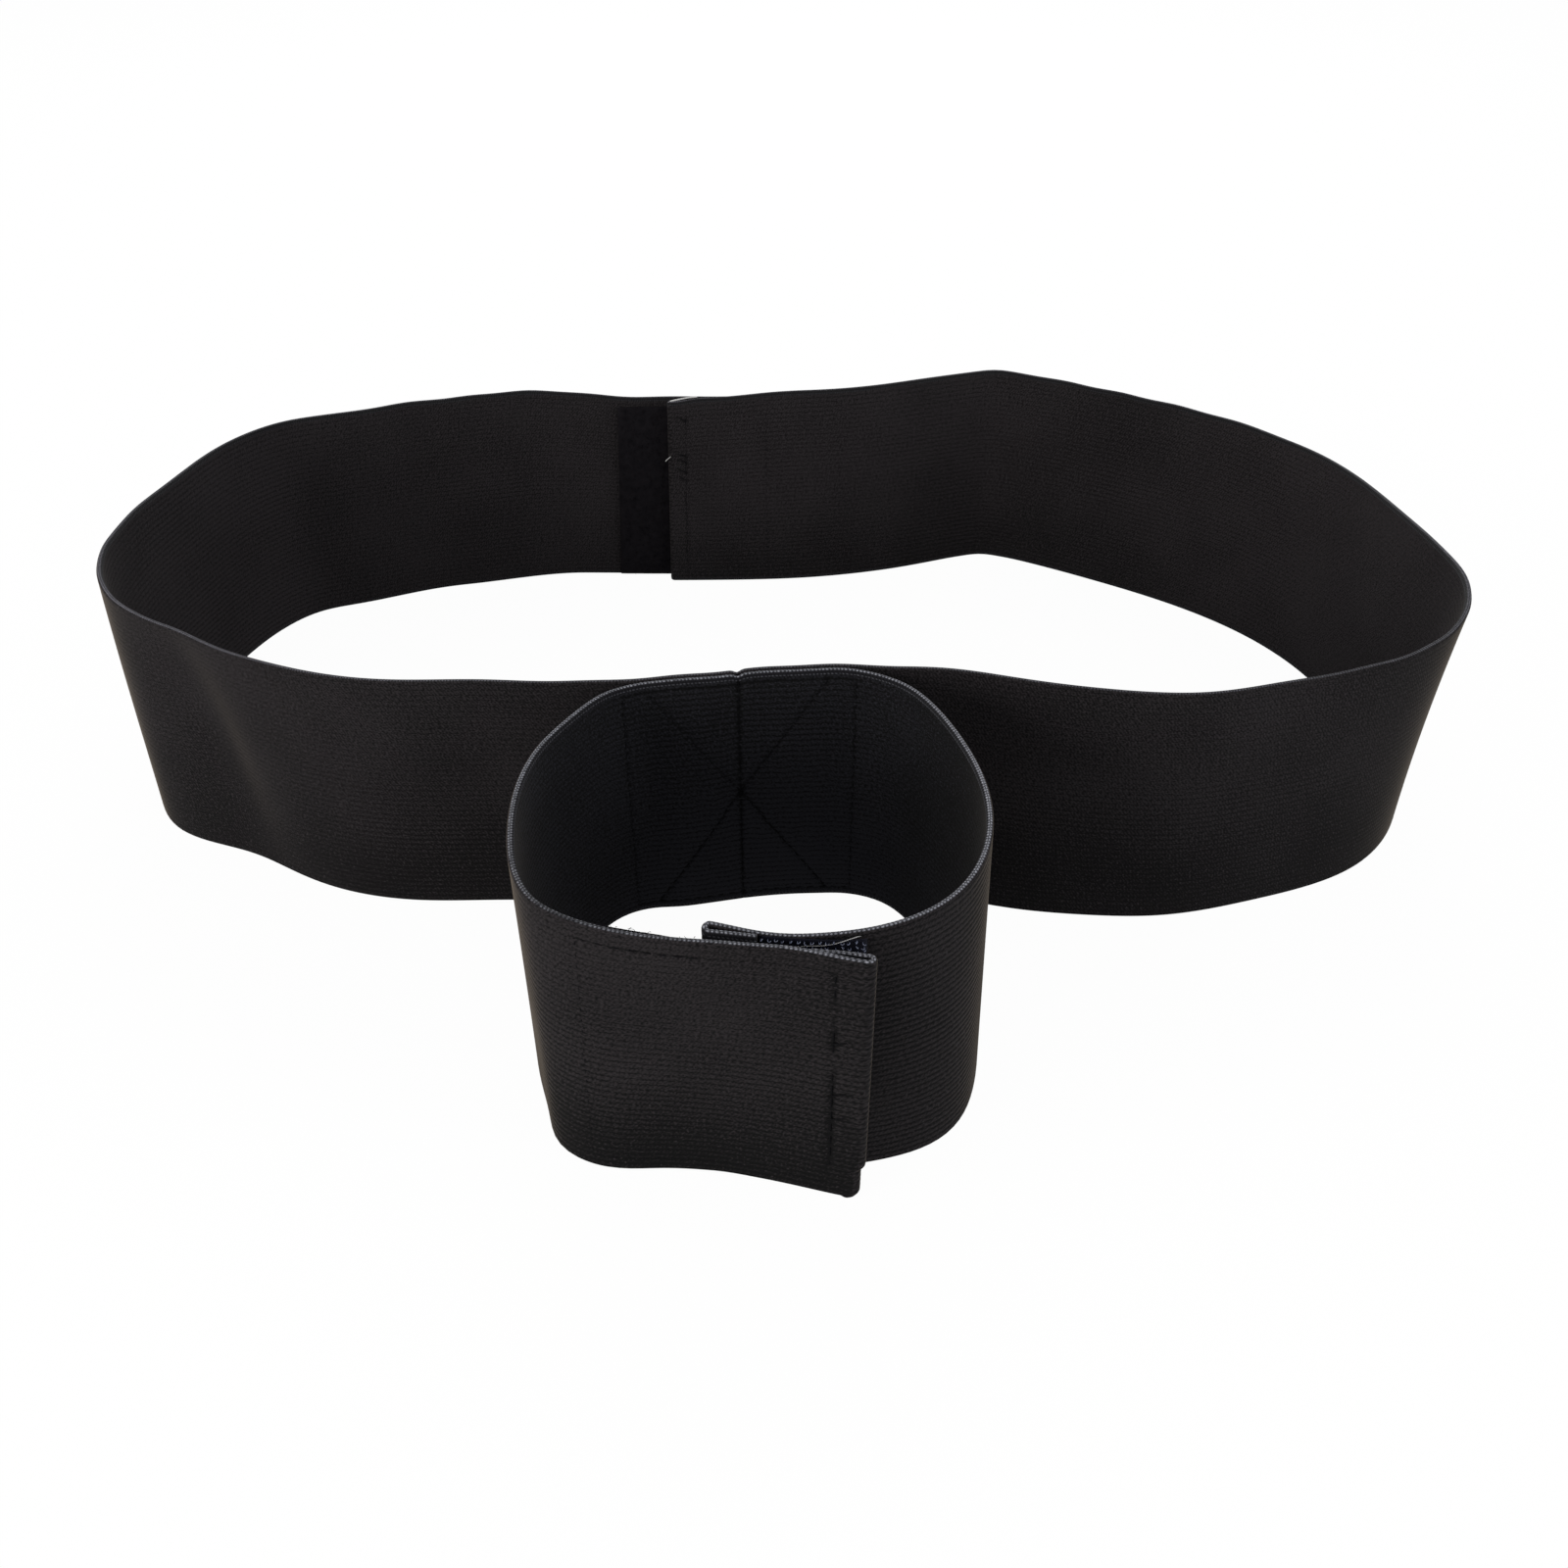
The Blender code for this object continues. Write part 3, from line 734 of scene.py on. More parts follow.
@dataclass(frozen=True)
class Stitching:
    """Rows of lockstitch lying on one face of a strip."""

    rows: tuple[Row, ...]
    face: float
    thread: float = 0.42 * MM
    gap: float = 0.55 * MM
    sink: float = 0.26 * MM
    rings: int = 6
    sides: int = 6

    def mesh(self, name: str, strip: Strip, look: bpy.types.Material) -> bpy.types.Object:
        """Build every stitch as a short thread that dives into the cloth at both ends.

        Along a stitch the thread's height is a parabola that falls below the face at the
        needle holes, and its section is a circle that closes at the ends.

        Args:
            name: The piece's name.
            strip: The strip that it is sewn to.
            look: The thread's material.

        Returns:
            The new piece.
        """
        along = np.linspace(-1, 1, self.rings)
        turn = np.arange(self.sides) / self.sides * 2 * np.pi
        centres, headings, lengths, pulls = [], [], [], []
        for row in self.rows:
            count = max(1, int(round(row.length / row.pitch)))
            share = (np.arange(count) + 0.5) / count
            centres.append(np.array(row.start) + share[:, None] * row.run)
            headings.append(np.repeat((row.run / row.length)[None], count, axis=0))
            lengths.append(np.full(count, row.length / count - self.gap))
            pulls.append(np.full(count, self.sink + 0.2 * row.pull))
        centre = np.concatenate(centres)[:, None, None]
        heading = np.concatenate(headings)[:, None, None]
        length = np.concatenate(lengths)[:, None, None]
        beside = np.stack([-heading[..., 1], heading[..., 0]], axis=-1)
        radius = self.thread / 2 * np.sqrt(1 - 0.92 * along**8)[None, :, None]
        place = (centre + heading * (along[None, :, None, None] * length[..., None] / 2)
                 + beside * (radius * np.sin(turn))[..., None])
        depth = strip.stock.thickness / 2 - strip.stock.rib_height
        out = (depth + self.thread * (0.62 - 0.75 * along**2))[None, :, None]
        out = out - np.concatenate(pulls)[:, None, None] + radius * np.cos(turn)
        points = strip.surface(place[..., 0], place[..., 1], self.face * out)
        quads = many_tubes(len(points), self.rings, self.sides, self.face * strip.loop.forward < 0)
        flat = np.stack([place[..., 0], place[..., 1]], axis=-1).reshape(-1, 2) / MM
        return put_mesh(name, points.reshape(-1, 3), quads, flat, [look])


@dataclass(frozen=True)
class StrayThread:
    """A thread's loose end that curls over one face of a strip.

    Its places are distances along the strip, heights on it and distances out of it.
    """

    name: str
    places: tuple[tuple[float, float, float], ...]
    thick: float
    stations: int = 28
    sides: int = 6

    def mesh(self, strip: Strip, look: bpy.types.Material) -> bpy.types.Object:
        """Build the thread along a curve that its places pull on.

        The curve is the sum of the places times their Bernstein weights: the number of
        ways to choose the place's number, times the share to that power, times the rest
        to the power that is left. A circle that closes at the ends is carried along it.

        Args:
            strip: The strip whose cloth the places are measured on.
            look: The thread's material.

        Returns:
            The new piece.
        """
        share = np.linspace(0, 1, self.stations)[:, None]
        last = len(self.places) - 1
        path = sum(math.comb(last, index) * share**index * (1 - share) ** (last - index)
                   * np.array(spot) for index, spot in enumerate(self.places))
        centre = strip.surface(path[:, 0], path[:, 1], path[:, 2])
        ahead = unit(np.gradient(centre, axis=0))
        beside = unit(np.cross(ahead, (0.31, 0.17, 0.93)))
        above = np.cross(beside, ahead)
        turn = np.arange(self.sides) / self.sides * 2 * np.pi
        radius = self.thick / 2 * np.sqrt(1 - 0.9 * (2 * share - 1) ** 16)
        ring = (beside[:, None] * np.cos(turn)[None, :, None]
                + above[:, None] * np.sin(turn)[None, :, None]) * radius[..., None]
        points = (centre[:, None] + ring).reshape(-1, 3)
        flat = np.repeat(path[:, :2], self.sides, axis=0) / MM
        quads = closed_tube(self.stations, self.sides)
        return put_mesh(self.name, points, quads, flat, [look])


# ------------------------------------------------------------------ finishes
# The cloth map is in millimetres, so a noise scale is in cells for each millimetre.
class Tone(Enum):
    """The two dye lots of elastic."""

    WAIST = "waist"
    CUFF = "cuff"


def new_look(name: str) -> tuple[bpy.types.Material, bpy.types.NodeTree, bpy.types.Node]:
    """Make a material.

    Args:
        name: The material's name.

    Returns:
        The new material, its node tree and its surface shader.
    """
    look = bpy.data.materials.new(name)
    look.use_nodes = True
    return look, look.node_tree, look.node_tree.nodes["Principled BSDF"]


@dataclass(frozen=True)
class KnittedElastic:
    """Black crochet-knitted polyester elastic.

    To the eye it is a dull near-black with fine lengthwise ribs and slanting yarn dashes,
    and a painted warm sheen greys its outer face where it is seen along its surface, in
    place of the light that loose fibre ends catch. A dash is the length of one yarn float
    along a rib, in millimetres.
    """

    name: str
    dark: str
    light: str
    inner_light: str
    dash: float = 0.92
    dash_depth: float = 0.25

    def build(self) -> bpy.types.Material:
        """Return the material, whose ribs and dashes are drawn from the cloth map.

        A rib's crown is the 0.7th power of the size of its sine, and a dash is a sine
        along the rib that leans and steps on from each rib to the next. The yarn's
        paleness is 0.42 plus a sum of parts times their shares: the ribs, the dashes,
        fibre noise, specks of fluff, painted light and shade, painted shade in the
        stitch grooves and slow patches.

        Returns:
            The new material.
        """
        look, tree, shader = new_look(self.name)
        cloth = add_node(tree, "ShaderNodeUVMap", uv_map="cloth")
        wander = add_node(tree, NOISE, {"Vector": cloth, "Scale": 0.35, "Detail": 2.0},
                          noise_dimensions="2D")
        moved = add_node(tree, "ShaderNodeVectorMath",
                         (wander.outputs["Color"], (0.9, 0.35, 0.0), cloth),
                         operation="MULTIPLY_ADD")
        along, up = add_node(tree, "ShaderNodeSeparateXYZ", (moved,)).outputs[:2]
        # The corner values after the ribbing are painted light and shade, and painted shade in the
        # stitch grooves.
        shown, wear, pressed = (
            add_node(tree, "ShaderNodeAttribute", attribute_name=mark).outputs["Fac"]
            for mark in ("ribbing", "wear", "pressed"))
        rib = add_node(tree, MATH, (up, RIB_MM), operation="DIVIDE")
        valley = rib
        for operation, second in (("MULTIPLY", math.pi), ("SINE", 0.0), ("ABSOLUTE", 0.0),
                                  ("POWER", 0.7), ("SUBTRACT", 0.68), ("MULTIPLY", shown)):
            valley = add_node(tree, MATH, (valley, second), operation=operation)
        lean = add_node(tree, MATH, (up, 0.55), operation="MULTIPLY")
        share = add_node(tree, MATH, (along, self.dash), operation="DIVIDE")
        share = add_node(tree, MATH, (share, lean), operation="ADD")
        number = add_node(tree, MATH, (rib,), operation="FLOOR")
        share = add_node(tree, MATH, (number, 0.37, share), operation="MULTIPLY_ADD")
        turn = add_node(tree, MATH, (share, 2 * math.pi), operation="MULTIPLY")
        dash = add_node(tree, MATH, (turn,), operation="SINE")
        grain = add_node(tree, "ShaderNodeVectorMath", (moved, (1.2, 2.6, 0.0)),
                         operation="MULTIPLY")
        fibre, patch, fluff = (
            add_node(tree, NOISE, {"Vector": place, "Scale": scale, "Detail": detail},
                     noise_dimensions="2D")
            for place, scale, detail in ((grain, 1.0, 2.0), (cloth, 0.035, 3.0),
                                         (cloth, 1.3, 0.0)))
        coarse, cloudy, specks = (
            add_node(tree, MATH, (noise, level), operation="SUBTRACT")
            for noise, level in ((fibre, 0.5), (patch, 0.5), (fluff, 0.74)))
        specks = add_node(tree, MATH, (specks, 0.0), operation="MAXIMUM")
        yarn = 0.42
        # Among these parts, painted light and shade pale or darken the yarn, and painted groove
        # shade darkens it.
        for part, share in ((valley, 1.1), (dash, self.dash_depth), (coarse, 2.3), (specks, 8.0),
                            (wear, 0.5), (pressed, -0.75), (cloudy, 0.5)):
            yarn = add_node(tree, MATH, (part, share, yarn), operation="MULTIPLY_ADD")
        inner = add_node(tree, MATH, (up, INNER_FROM), operation="GREATER_THAN")
        pale = add_node(tree, MIX, {"Factor": inner, 6: linear(self.light),
                                    7: linear(self.inner_light)}, data_type="RGBA")
        colour = add_node(tree, MIX, {"Factor": yarn, 6: linear(self.dark), 7: pale.outputs[2]},
                          data_type="RGBA", clamp_factor=True)
        # Painted sheen: the outer face's colour turns warm grey where it is seen along its
        # surface, in place of the light that loose fibre ends catch.
        facing = add_node(tree, "ShaderNodeLayerWeight", {"Blend": 0.5}).outputs["Facing"]
        rim = add_node(tree, MATH, (facing, 9.0), operation="POWER")
        outer = add_node(tree, MATH, (up, INNER_FROM), operation="LESS_THAN")
        rim = add_node(tree, MATH, (rim, outer), operation="MULTIPLY")
        rim = add_node(tree, MATH, (rim, 0.5), operation="MULTIPLY")
        colour = add_node(tree, MIX, {"Factor": rim, 6: colour.outputs[2], 7: linear("#85796a")},
                          data_type="RGBA", clamp_factor=True)
        height = add_node(tree, MATH, (valley, 0.6), operation="MULTIPLY")
        height = add_node(tree, MATH, (dash, 0.14, height), operation="MULTIPLY_ADD")
        height = add_node(tree, MATH, (fibre, 0.2, height), operation="MULTIPLY_ADD")
        bump = add_node(tree, "ShaderNodeBump",
                        {"Strength": 0.6, "Distance": 0.14 * MM, "Height": height})
        feed(shader, {"Base Color": colour.outputs[2], "Normal": bump, "Roughness": 0.85,
                      "IOR": 1.5, "Specular IOR Level": 0.1, "Sheen Weight": 0.12,
                      "Sheen Roughness": 0.25, "Sheen Tint": linear("#b3aa9e")})
        return look


@dataclass(frozen=True)
class Selvage:
    """The edge of the elastic, where the covering yarn turns round the last rubber thread.

    The turned yarn catches light, so the edge is a hatched grey line. The hatch is the
    millimetres from one turn to the next.
    """

    name: str
    dark: str
    light: str
    hatch: float = 0.78
    painted_light: tuple[tuple[float, float, float], ...] = ()

    def build(self) -> bpy.types.Material:
        """Return the material, hatched across the edge at the yarn's own spacing.

        The turned yarn is palest on the very edge and its ends thin out down the inner
        face, where a second, dotted line shows. Each stretch of painted light, given by its
        middle, its half length in millimetres and its strength, has paler yarn as a painted
        highlight: the paling is the strength times one less the share of the half length,
        and never negative.

        Returns:
            The new material.
        """
        look, tree, shader = new_look(self.name)
        cloth = add_node(tree, "ShaderNodeUVMap", uv_map="cloth")
        along, up = add_node(tree, "ShaderNodeSeparateXYZ", (cloth,)).outputs[:2]
        fray = add_node(tree, NOISE, {"Vector": cloth, "Scale": 0.6, "Detail": 3.0},
                        noise_dimensions="2D")
        phase = add_node(tree, MATH, (fray, 4.0), operation="MULTIPLY")
        for place, turns in ((up, 2.2), (along, 2 * math.pi / self.hatch)):
            phase = add_node(tree, MATH, (place, turns, phase), operation="MULTIPLY_ADD")
        tooth = add_node(tree, MATH, (phase,), operation="SINE")
        tooth = add_node(tree, MATH, (tooth, 0.5, 0.5), operation="MULTIPLY_ADD")
        # The depth is how far a place lies inside the nearer edge of its own face.
        inner = add_node(tree, MATH, (up, INNER_FROM), operation="GREATER_THAN")
        inner = add_node(tree, MATH, (inner, INNER_RISE), operation="MULTIPLY")
        halfway = (WIDTH_MM - THICK_MM) / 2
        within = up
        for operation, second in (("SUBTRACT", inner), ("SUBTRACT", halfway), ("ABSOLUTE", 0.0)):
            within = add_node(tree, MATH, (within, second), operation=operation)
        depth = add_node(tree, MATH, (WIDTH_MM / 2, within), operation="SUBTRACT")
        thinning = add_node(tree, RANGE, {"Value": depth, "From Min": 0.0, "From Max": 0.24,
                                          "To Min": 1.0, "To Max": 0.0},
                            interpolation_type="SMOOTHSTEP")
        line = depth
        for operation, second in (("SUBTRACT", 1.1), ("ABSOLUTE", 0.0), ("MULTIPLY", 4.0)):
            line = add_node(tree, MATH, (line, second), operation=operation)
        line = add_node(tree, MATH, (1.0, line), operation="SUBTRACT")
        line = add_node(tree, MATH, (line, 0.0), operation="MAXIMUM")
        line = add_node(tree, MATH, (line, tooth), operation="MULTIPLY")
        mixed = add_node(tree, MATH, (tooth, 0.6, 0.03), operation="MULTIPLY_ADD")
        mixed = add_node(tree, MATH, (thinning, mixed), operation="MULTIPLY")
        mixed = add_node(tree, MATH, (line, 0.16, mixed), operation="MULTIPLY_ADD")
        frayed = add_node(tree, MATH, (fray, 1.6, 0.2), operation="MULTIPLY_ADD")
        mixed = add_node(tree, MATH, (mixed, frayed), operation="MULTIPLY")
        toothed = add_node(tree, MATH, (tooth, 0.5, 0.08), operation="MULTIPLY_ADD")
        # Stretches of painted light pale the edge yarn, and darken it where the strength is
        # negative.
        for middle, half, strength in self.painted_light:
            away = add_node(tree, MATH, (along, middle), operation="SUBTRACT")
            away = add_node(tree, MATH, (away,), operation="ABSOLUTE")
            pale = add_node(tree, RANGE, {"Value": away, "From Max": half, "To Min": strength,
                                          "To Max": 0.0})
            pale = add_node(tree, MATH, (pale, thinning), operation="MULTIPLY")
            mixed = add_node(tree, MATH, (pale, toothed, mixed), operation="MULTIPLY_ADD")
        colour = add_node(tree, MIX, {"Factor": mixed, 6: linear(self.dark),
                                      7: linear(self.light)},
                          data_type="RGBA", clamp_factor=True)
        bump = add_node(tree, "ShaderNodeBump",
                        {"Strength": 0.8, "Distance": 0.25 * MM, "Height": tooth})
        feed(shader, {"Base Color": colour.outputs[2], "Normal": bump, "Roughness": 0.8,
                      "Specular IOR Level": 0.15, "Sheen Weight": 0.06, "Sheen Roughness": 0.4})
        return look


@dataclass(frozen=True)
class Plain:
    """A dull fibre with a slight grain: polyester thread, brushed pile or nylon hooks."""

    name: str
    dark: str
    light: str
    roughness: float
    grain: float
    gloss: float = 0.12

    def build(self) -> bpy.types.Material:
        """Return the material, mottled by a noise of the fibre's size.

        Returns:
            The new material.
        """
        look, tree, shader = new_look(self.name)
        cloth = add_node(tree, "ShaderNodeUVMap", uv_map="cloth")
        noise = add_node(tree, NOISE, {"Vector": cloth, "Scale": self.grain, "Detail": 4.0},
                         noise_dimensions="2D")
        colour = add_node(tree, MIX, {"Factor": noise, 6: linear(self.dark),
                                      7: linear(self.light)}, data_type="RGBA")
        bump = add_node(tree, "ShaderNodeBump",
                        {"Strength": 0.8, "Distance": 0.2 * MM, "Height": noise})
        feed(shader, {"Base Color": colour.outputs[2], "Normal": bump,
                      "Roughness": self.roughness, "Specular IOR Level": self.gloss})
        return look


@dataclass
class Finishes:
    """Every material of the belt, made once."""

    elastic: dict[Tone, bpy.types.Material] = field(init=False)
    selvage: dict[Tone, bpy.types.Material] = field(init=False)
    pile: bpy.types.Material = field(init=False)
    ground: bpy.types.Material = field(init=False)
    hooks: bpy.types.Material = field(init=False)
    thread: bpy.types.Material = field(init=False)
    pale_thread: bpy.types.Material = field(init=False)

    def __post_init__(self) -> None:
        """Build the materials."""
        self.elastic = {
            Tone.WAIST: KnittedElastic(
                "knitted_elastic_waist", "#0a090a", "#2a2729", "#2a2729").build(),
            Tone.CUFF: KnittedElastic(
                "knitted_elastic_cuff", "#080809", "#2a2729", "#26262b", dash_depth=0.15).build()}
        # The waist edge's paler stretches are painted highlights on the front's far left and far
        # right and at the hem's top corner.
        self.selvage = {
            Tone.WAIST: Selvage(
                "elastic_selvage_waist", "#111113", "#6c6b74",
                painted_light=((-180.0, 95.0, 1.0), (245.0, 60.0, 0.9), (568.0, 13.0, 5.0))).build(),
            Tone.CUFF: Selvage(
                "elastic_selvage_cuff", "#0c0c11", "#b3b5c0", 0.95,
                ((95.0, 60.0, 0.35), (-125.0, 45.0, -0.6))).build()}
        # Brushed nylon pile drinks the light, so it is the darkest surface.
        self.pile = Plain("brushed_loop_pile", "#0b0a0d", "#1b191c", 0.95, 0.35, 0.04).build()
        # The hook tape's woven ground is a dull navy black.
        self.ground = Plain("nylon_hook_ground", "#07080f", "#12131f", 0.7, 1.6, 0.1).build()
        # Stiff nylon monofilament is translucent. Its navy is its own colour, and the pale blue
        # that noise mixes into it is a painted glint.
        self.hooks = Plain("nylon_hooks", "#1a1c2a", "#7c84a0", 0.3, 0.9, 0.6).build()
        # Spun polyester sewing thread, slightly shinier than the cloth.
        self.thread = Plain("polyester_thread", "#030304", "#0e0e11", 0.7, 3.0, 0.06).build()
        # Undyed thread is pale, so its loose ends show against the black.
        self.pale_thread = Plain("pale_thread", "#9a9a9a", "#d8d8d8", 0.6, 3.0).build()


# ------------------------------------------------------------------ sweeping the elastic
@dataclass(frozen=True)
class Length:
    """One length of a strip, as a visual piece.

    Its hem is 1 where the end turns back outside the loop, -1 inside it and 0 for none.
    """

    name: str
    start: float
    end: float
    hem: float = 0.0
    slit: float = 0.1 * MM


@dataclass
class BandBuilder:
    """Carries the elastic's ribbed section along a strip."""

    strip: Strip
    tone: Tone
    finishes: Finishes
    step: float = 2.4 * MM
    fine: tuple[tuple[float, float, float], ...] = ()
    end_step: float = 0.04 * MM
    end_clear: float = 0.3 * MM
    hem_ribs: float = 0.6
    hem_top: float = 0.986
    hem_gap: float = 0.1 * MM
    hem_stations: int = 8
    edge_half: float = 0.62 * MM
    turned_in: float = 1.5 * MM
    # The pull at which the painted shade in a stitch groove is darkest.
    pull_for_full_shade: float = 0.42 * MM

    def stations(self, start: float, end: float) -> Array:
        """Return distances from start to end, closer together in the fine stretches.

        A thin first and last step keep the cut ends from shading the face beside them.

        Args:
            start: The first distance.
            end: The last distance, larger or smaller.

        Returns:
            Distances in order.
        """
        low, high = min(start, end), max(start, end)
        keep = np.linspace(low, high, max(2, int(round((high - low) / self.step)) + 1))
        for first, last, gap in self.fine:
            first, last = max(first, low), min(last, high)
            if last - first < gap:
                continue
            inside = np.linspace(first, last, max(2, int(round((last - first) / gap)) + 1))
            keep = keep[(keep < first - gap / 3) | (keep > last + gap / 3)]
            keep = np.unique(np.concatenate([keep, inside]))
        inside = keep[(keep > low + self.end_clear) & (keep < high - self.end_clear)]
        keep = np.concatenate([[low, low + self.end_step], inside, [high - self.end_step, high]])
        return keep if end > start else keep[::-1]

    def turned(self, length: Length, way: float, height: Array) -> tuple[Array, Array, Array]:
        """Return the path of an end that turns back on itself.

        The path is half a circle about a point beside the end, then a run back along the
        strip. The run starts one thickness and a slit away and nearly closes at its end.

        Args:
            length: The length, whose hem is 1 outside the loop and -1 inside it.
            way: 1 where the strip runs to larger distances, -1 to smaller.
            height: Heights on the flat strip.

        Returns:
            Plan points at each height, plan normals and distances for the cloth map.
        """
        strip, stock = self.strip, self.strip.stock
        end, face = length.end, length.hem
        radius = (stock.thickness + length.slit) / 2
        here = np.array([end])
        centre, normal = strip.middle(here)[0], strip.side(here)[0]
        ahead = np.array([-normal[1], normal[0]]) * strip.loop.forward * way
        turn = np.radians(np.arange(12, 180, 12))[:, None]
        pivot = centre + normal * face * radius
        bend = pivot - normal * face * radius * np.cos(turn) + ahead * radius * np.sin(turn)
        facing = normal * np.cos(turn) - ahead * face * np.sin(turn)
        share = np.linspace(0.0, 1.0, self.hem_stations)
        inwards = np.linspace(0.0, stock.hem, self.hem_stations)
        back = end - way * inwards
        apart = stock.thickness + self.hem_gap + (length.slit - self.hem_gap) * (
            1 - smooth_ramp(share, 0.3, 1.0))
        run = strip.middle(back) + strip.side(back) * face * apart[:, None]
        lean = np.concatenate([np.full(len(bend), end), back])
        lean = strip.lean(lean[:, None], height[None])
        out = np.concatenate([np.repeat(normal[None], len(bend), axis=0), strip.side(back)])
        plan = np.vstack([bend, run])[:, None] + out[:, None] * lean[..., None]
        bend_along = end + way * radius * turn[:, 0]
        run_along = end + way * (radius * math.pi + inwards)
        return (plan, np.vstack([facing, -strip.side(back)]),
                np.concatenate([bend_along, run_along]))

    def build(self, length: Length) -> bpy.types.Object:
        """Carry the ribbed section along one length of the strip.

        Each face lies half a thickness from the leaning middle line, less the rows'
        grooves, less the rib valleys times how plainly the ribs show there.

        Args:
            length: The length to build.

        Returns:
            The new piece.
        """
        strip, stock = self.strip, self.strip.stock
        height, half, valley = stock.half_profile()
        distances = self.stations(length.start, length.end)
        along, up = distances[:, None], height[None, :]
        normal = strip.side(distances)[:, None]
        ahead = np.stack([-normal[..., 1], normal[..., 0]], axis=-1) * strip.loop.forward
        slip = strip.slip(along, up)[..., None]
        plan = strip.middle(distances)[:, None] + ahead * slip
        lean = strip.lean(along, up)
        pulled = sum((row.groove(along, up) for row in strip.seams),
                     np.zeros((len(distances), len(height))))
        ribs = [strip.ribbing(along, up, face) for face in (1.0, -1.0)]
        # Painted light and shade of each face.
        wear = [strip.patches(strip.wear, along, up, face) for face in (1.0, -1.0)]
        outer = lean + half - pulled - valley * ribs[0]
        inner = lean - half + pulled + valley * ribs[1]
        top = strip.top(distances)[:, None] / stock.width
        drift = strip.drift(along, up)
        way = math.copysign(1.0, length.end - length.start)
        if length.hem:
            more_plan, more_normal, more_along = self.turned(length, way, height)
            count = len(more_plan)
            plan = np.vstack([plan, more_plan + ahead[-1:] * slip[-1:]])
            normal = np.vstack([normal, more_normal[:, None]])
            wide = np.repeat((half - valley * self.hem_ribs)[None], count, axis=0)
            outer = np.vstack([outer, wide])
            inner = np.vstack([inner, -wide])
            ribs = [np.vstack([shown, np.full(wide.shape, self.hem_ribs)]) for shown in ribs]
            none = np.zeros(wide.shape)
            wear = [np.vstack([painted_light, none]) for painted_light in wear]
            pulled, drift = np.vstack([pulled, none]), np.vstack([drift, none])
            lower = np.linspace(1.0, self.hem_top, count)[:, None]
            top = np.vstack([top, top[-1:] * lower])
            distances = np.concatenate([distances, more_along])
        rise = ((up + drift) * top)[..., None]
        points = there_and_back(*(np.concatenate([plan + normal * out[..., None], rise], axis=-1)
                                  for out in (outer, inner)))
        stations, ring = points.shape[:2]
        quads = closed_tube(stations, ring, strip.loop.forward * way < 0)
        edge = half < self.edge_half
        inner_edge = edge | (np.minimum(height, stock.width - height) < self.turned_in)
        ring_edge = np.concatenate([edge, inner_edge[::-1]])
        slots = np.zeros(len(quads), dtype=bool)
        slots[:ring * (stations - 1)] = np.tile(ring_edge & np.roll(ring_edge, -1), stations - 1)
        # Painted shade in the stitch grooves: the yarn darkens as a row pulls the cloth in.
        pressed = np.clip(pulled / self.pull_for_full_shade, 0, 1)
        back = height[::-1] + INNER_RIBS * stock.rib_pitch
        flat_up = (np.concatenate([height, back]) - stock.thickness / 2) / MM
        flat = np.stack(np.broadcast_arrays(distances[:, None] / MM, flat_up[None]), axis=-1)
        looks = [self.finishes.elastic[self.tone], self.finishes.selvage[self.tone]]
        piece = put_mesh(length.name, points.reshape(-1, 3), quads, flat.reshape(-1, 2), looks,
                         slots, caps=ring - 2, pressed=there_and_back(pressed, pressed),
                         wear=there_and_back(*wear), ribbing=there_and_back(*ribs))
        LOG.info("%s: %d faces", length.name, len(quads))
        return piece


# ------------------------------------------------------------------ hook tape and loop tape
@dataclass(frozen=True)
class TapeArea:
    """Where a tape lies on its strip, from its far edge to its edge at the hem.

    Its face is 1 for the outside and -1 for the inside.
    """

    start: float
    end: float
    face: float
    skew: float = 0.0

    def shifted(self, along: Array, share: Array) -> Array:
        """Return distances moved towards the end at the top, as the far edge is cut askew.

        Args:
            along: Distances along the strip.
            share: Shares of the tape's width, from its lower edge.

        Returns:
            Distances along the strip.
        """
        left = (self.end - along) / (self.end - self.start)
        return along + math.copysign(self.skew, self.end - self.start) * left * share

    @staticmethod
    def heights(strip: Strip, along: Array, share: Array) -> Array:
        """Return flat heights of shares of the tape's width.

        Args:
            strip: The strip that the tape is sewn to.
            along: Distances along the strip.
            share: Shares of the tape's width, from its lower edge.

        Returns:
            Heights on the flat strip.
        """
        high = strip.stock.width - strip.tape_high
        height = strip.tape_low + (high - strip.tape_low) * share
        return height * strip.stock.width / strip.top(along)


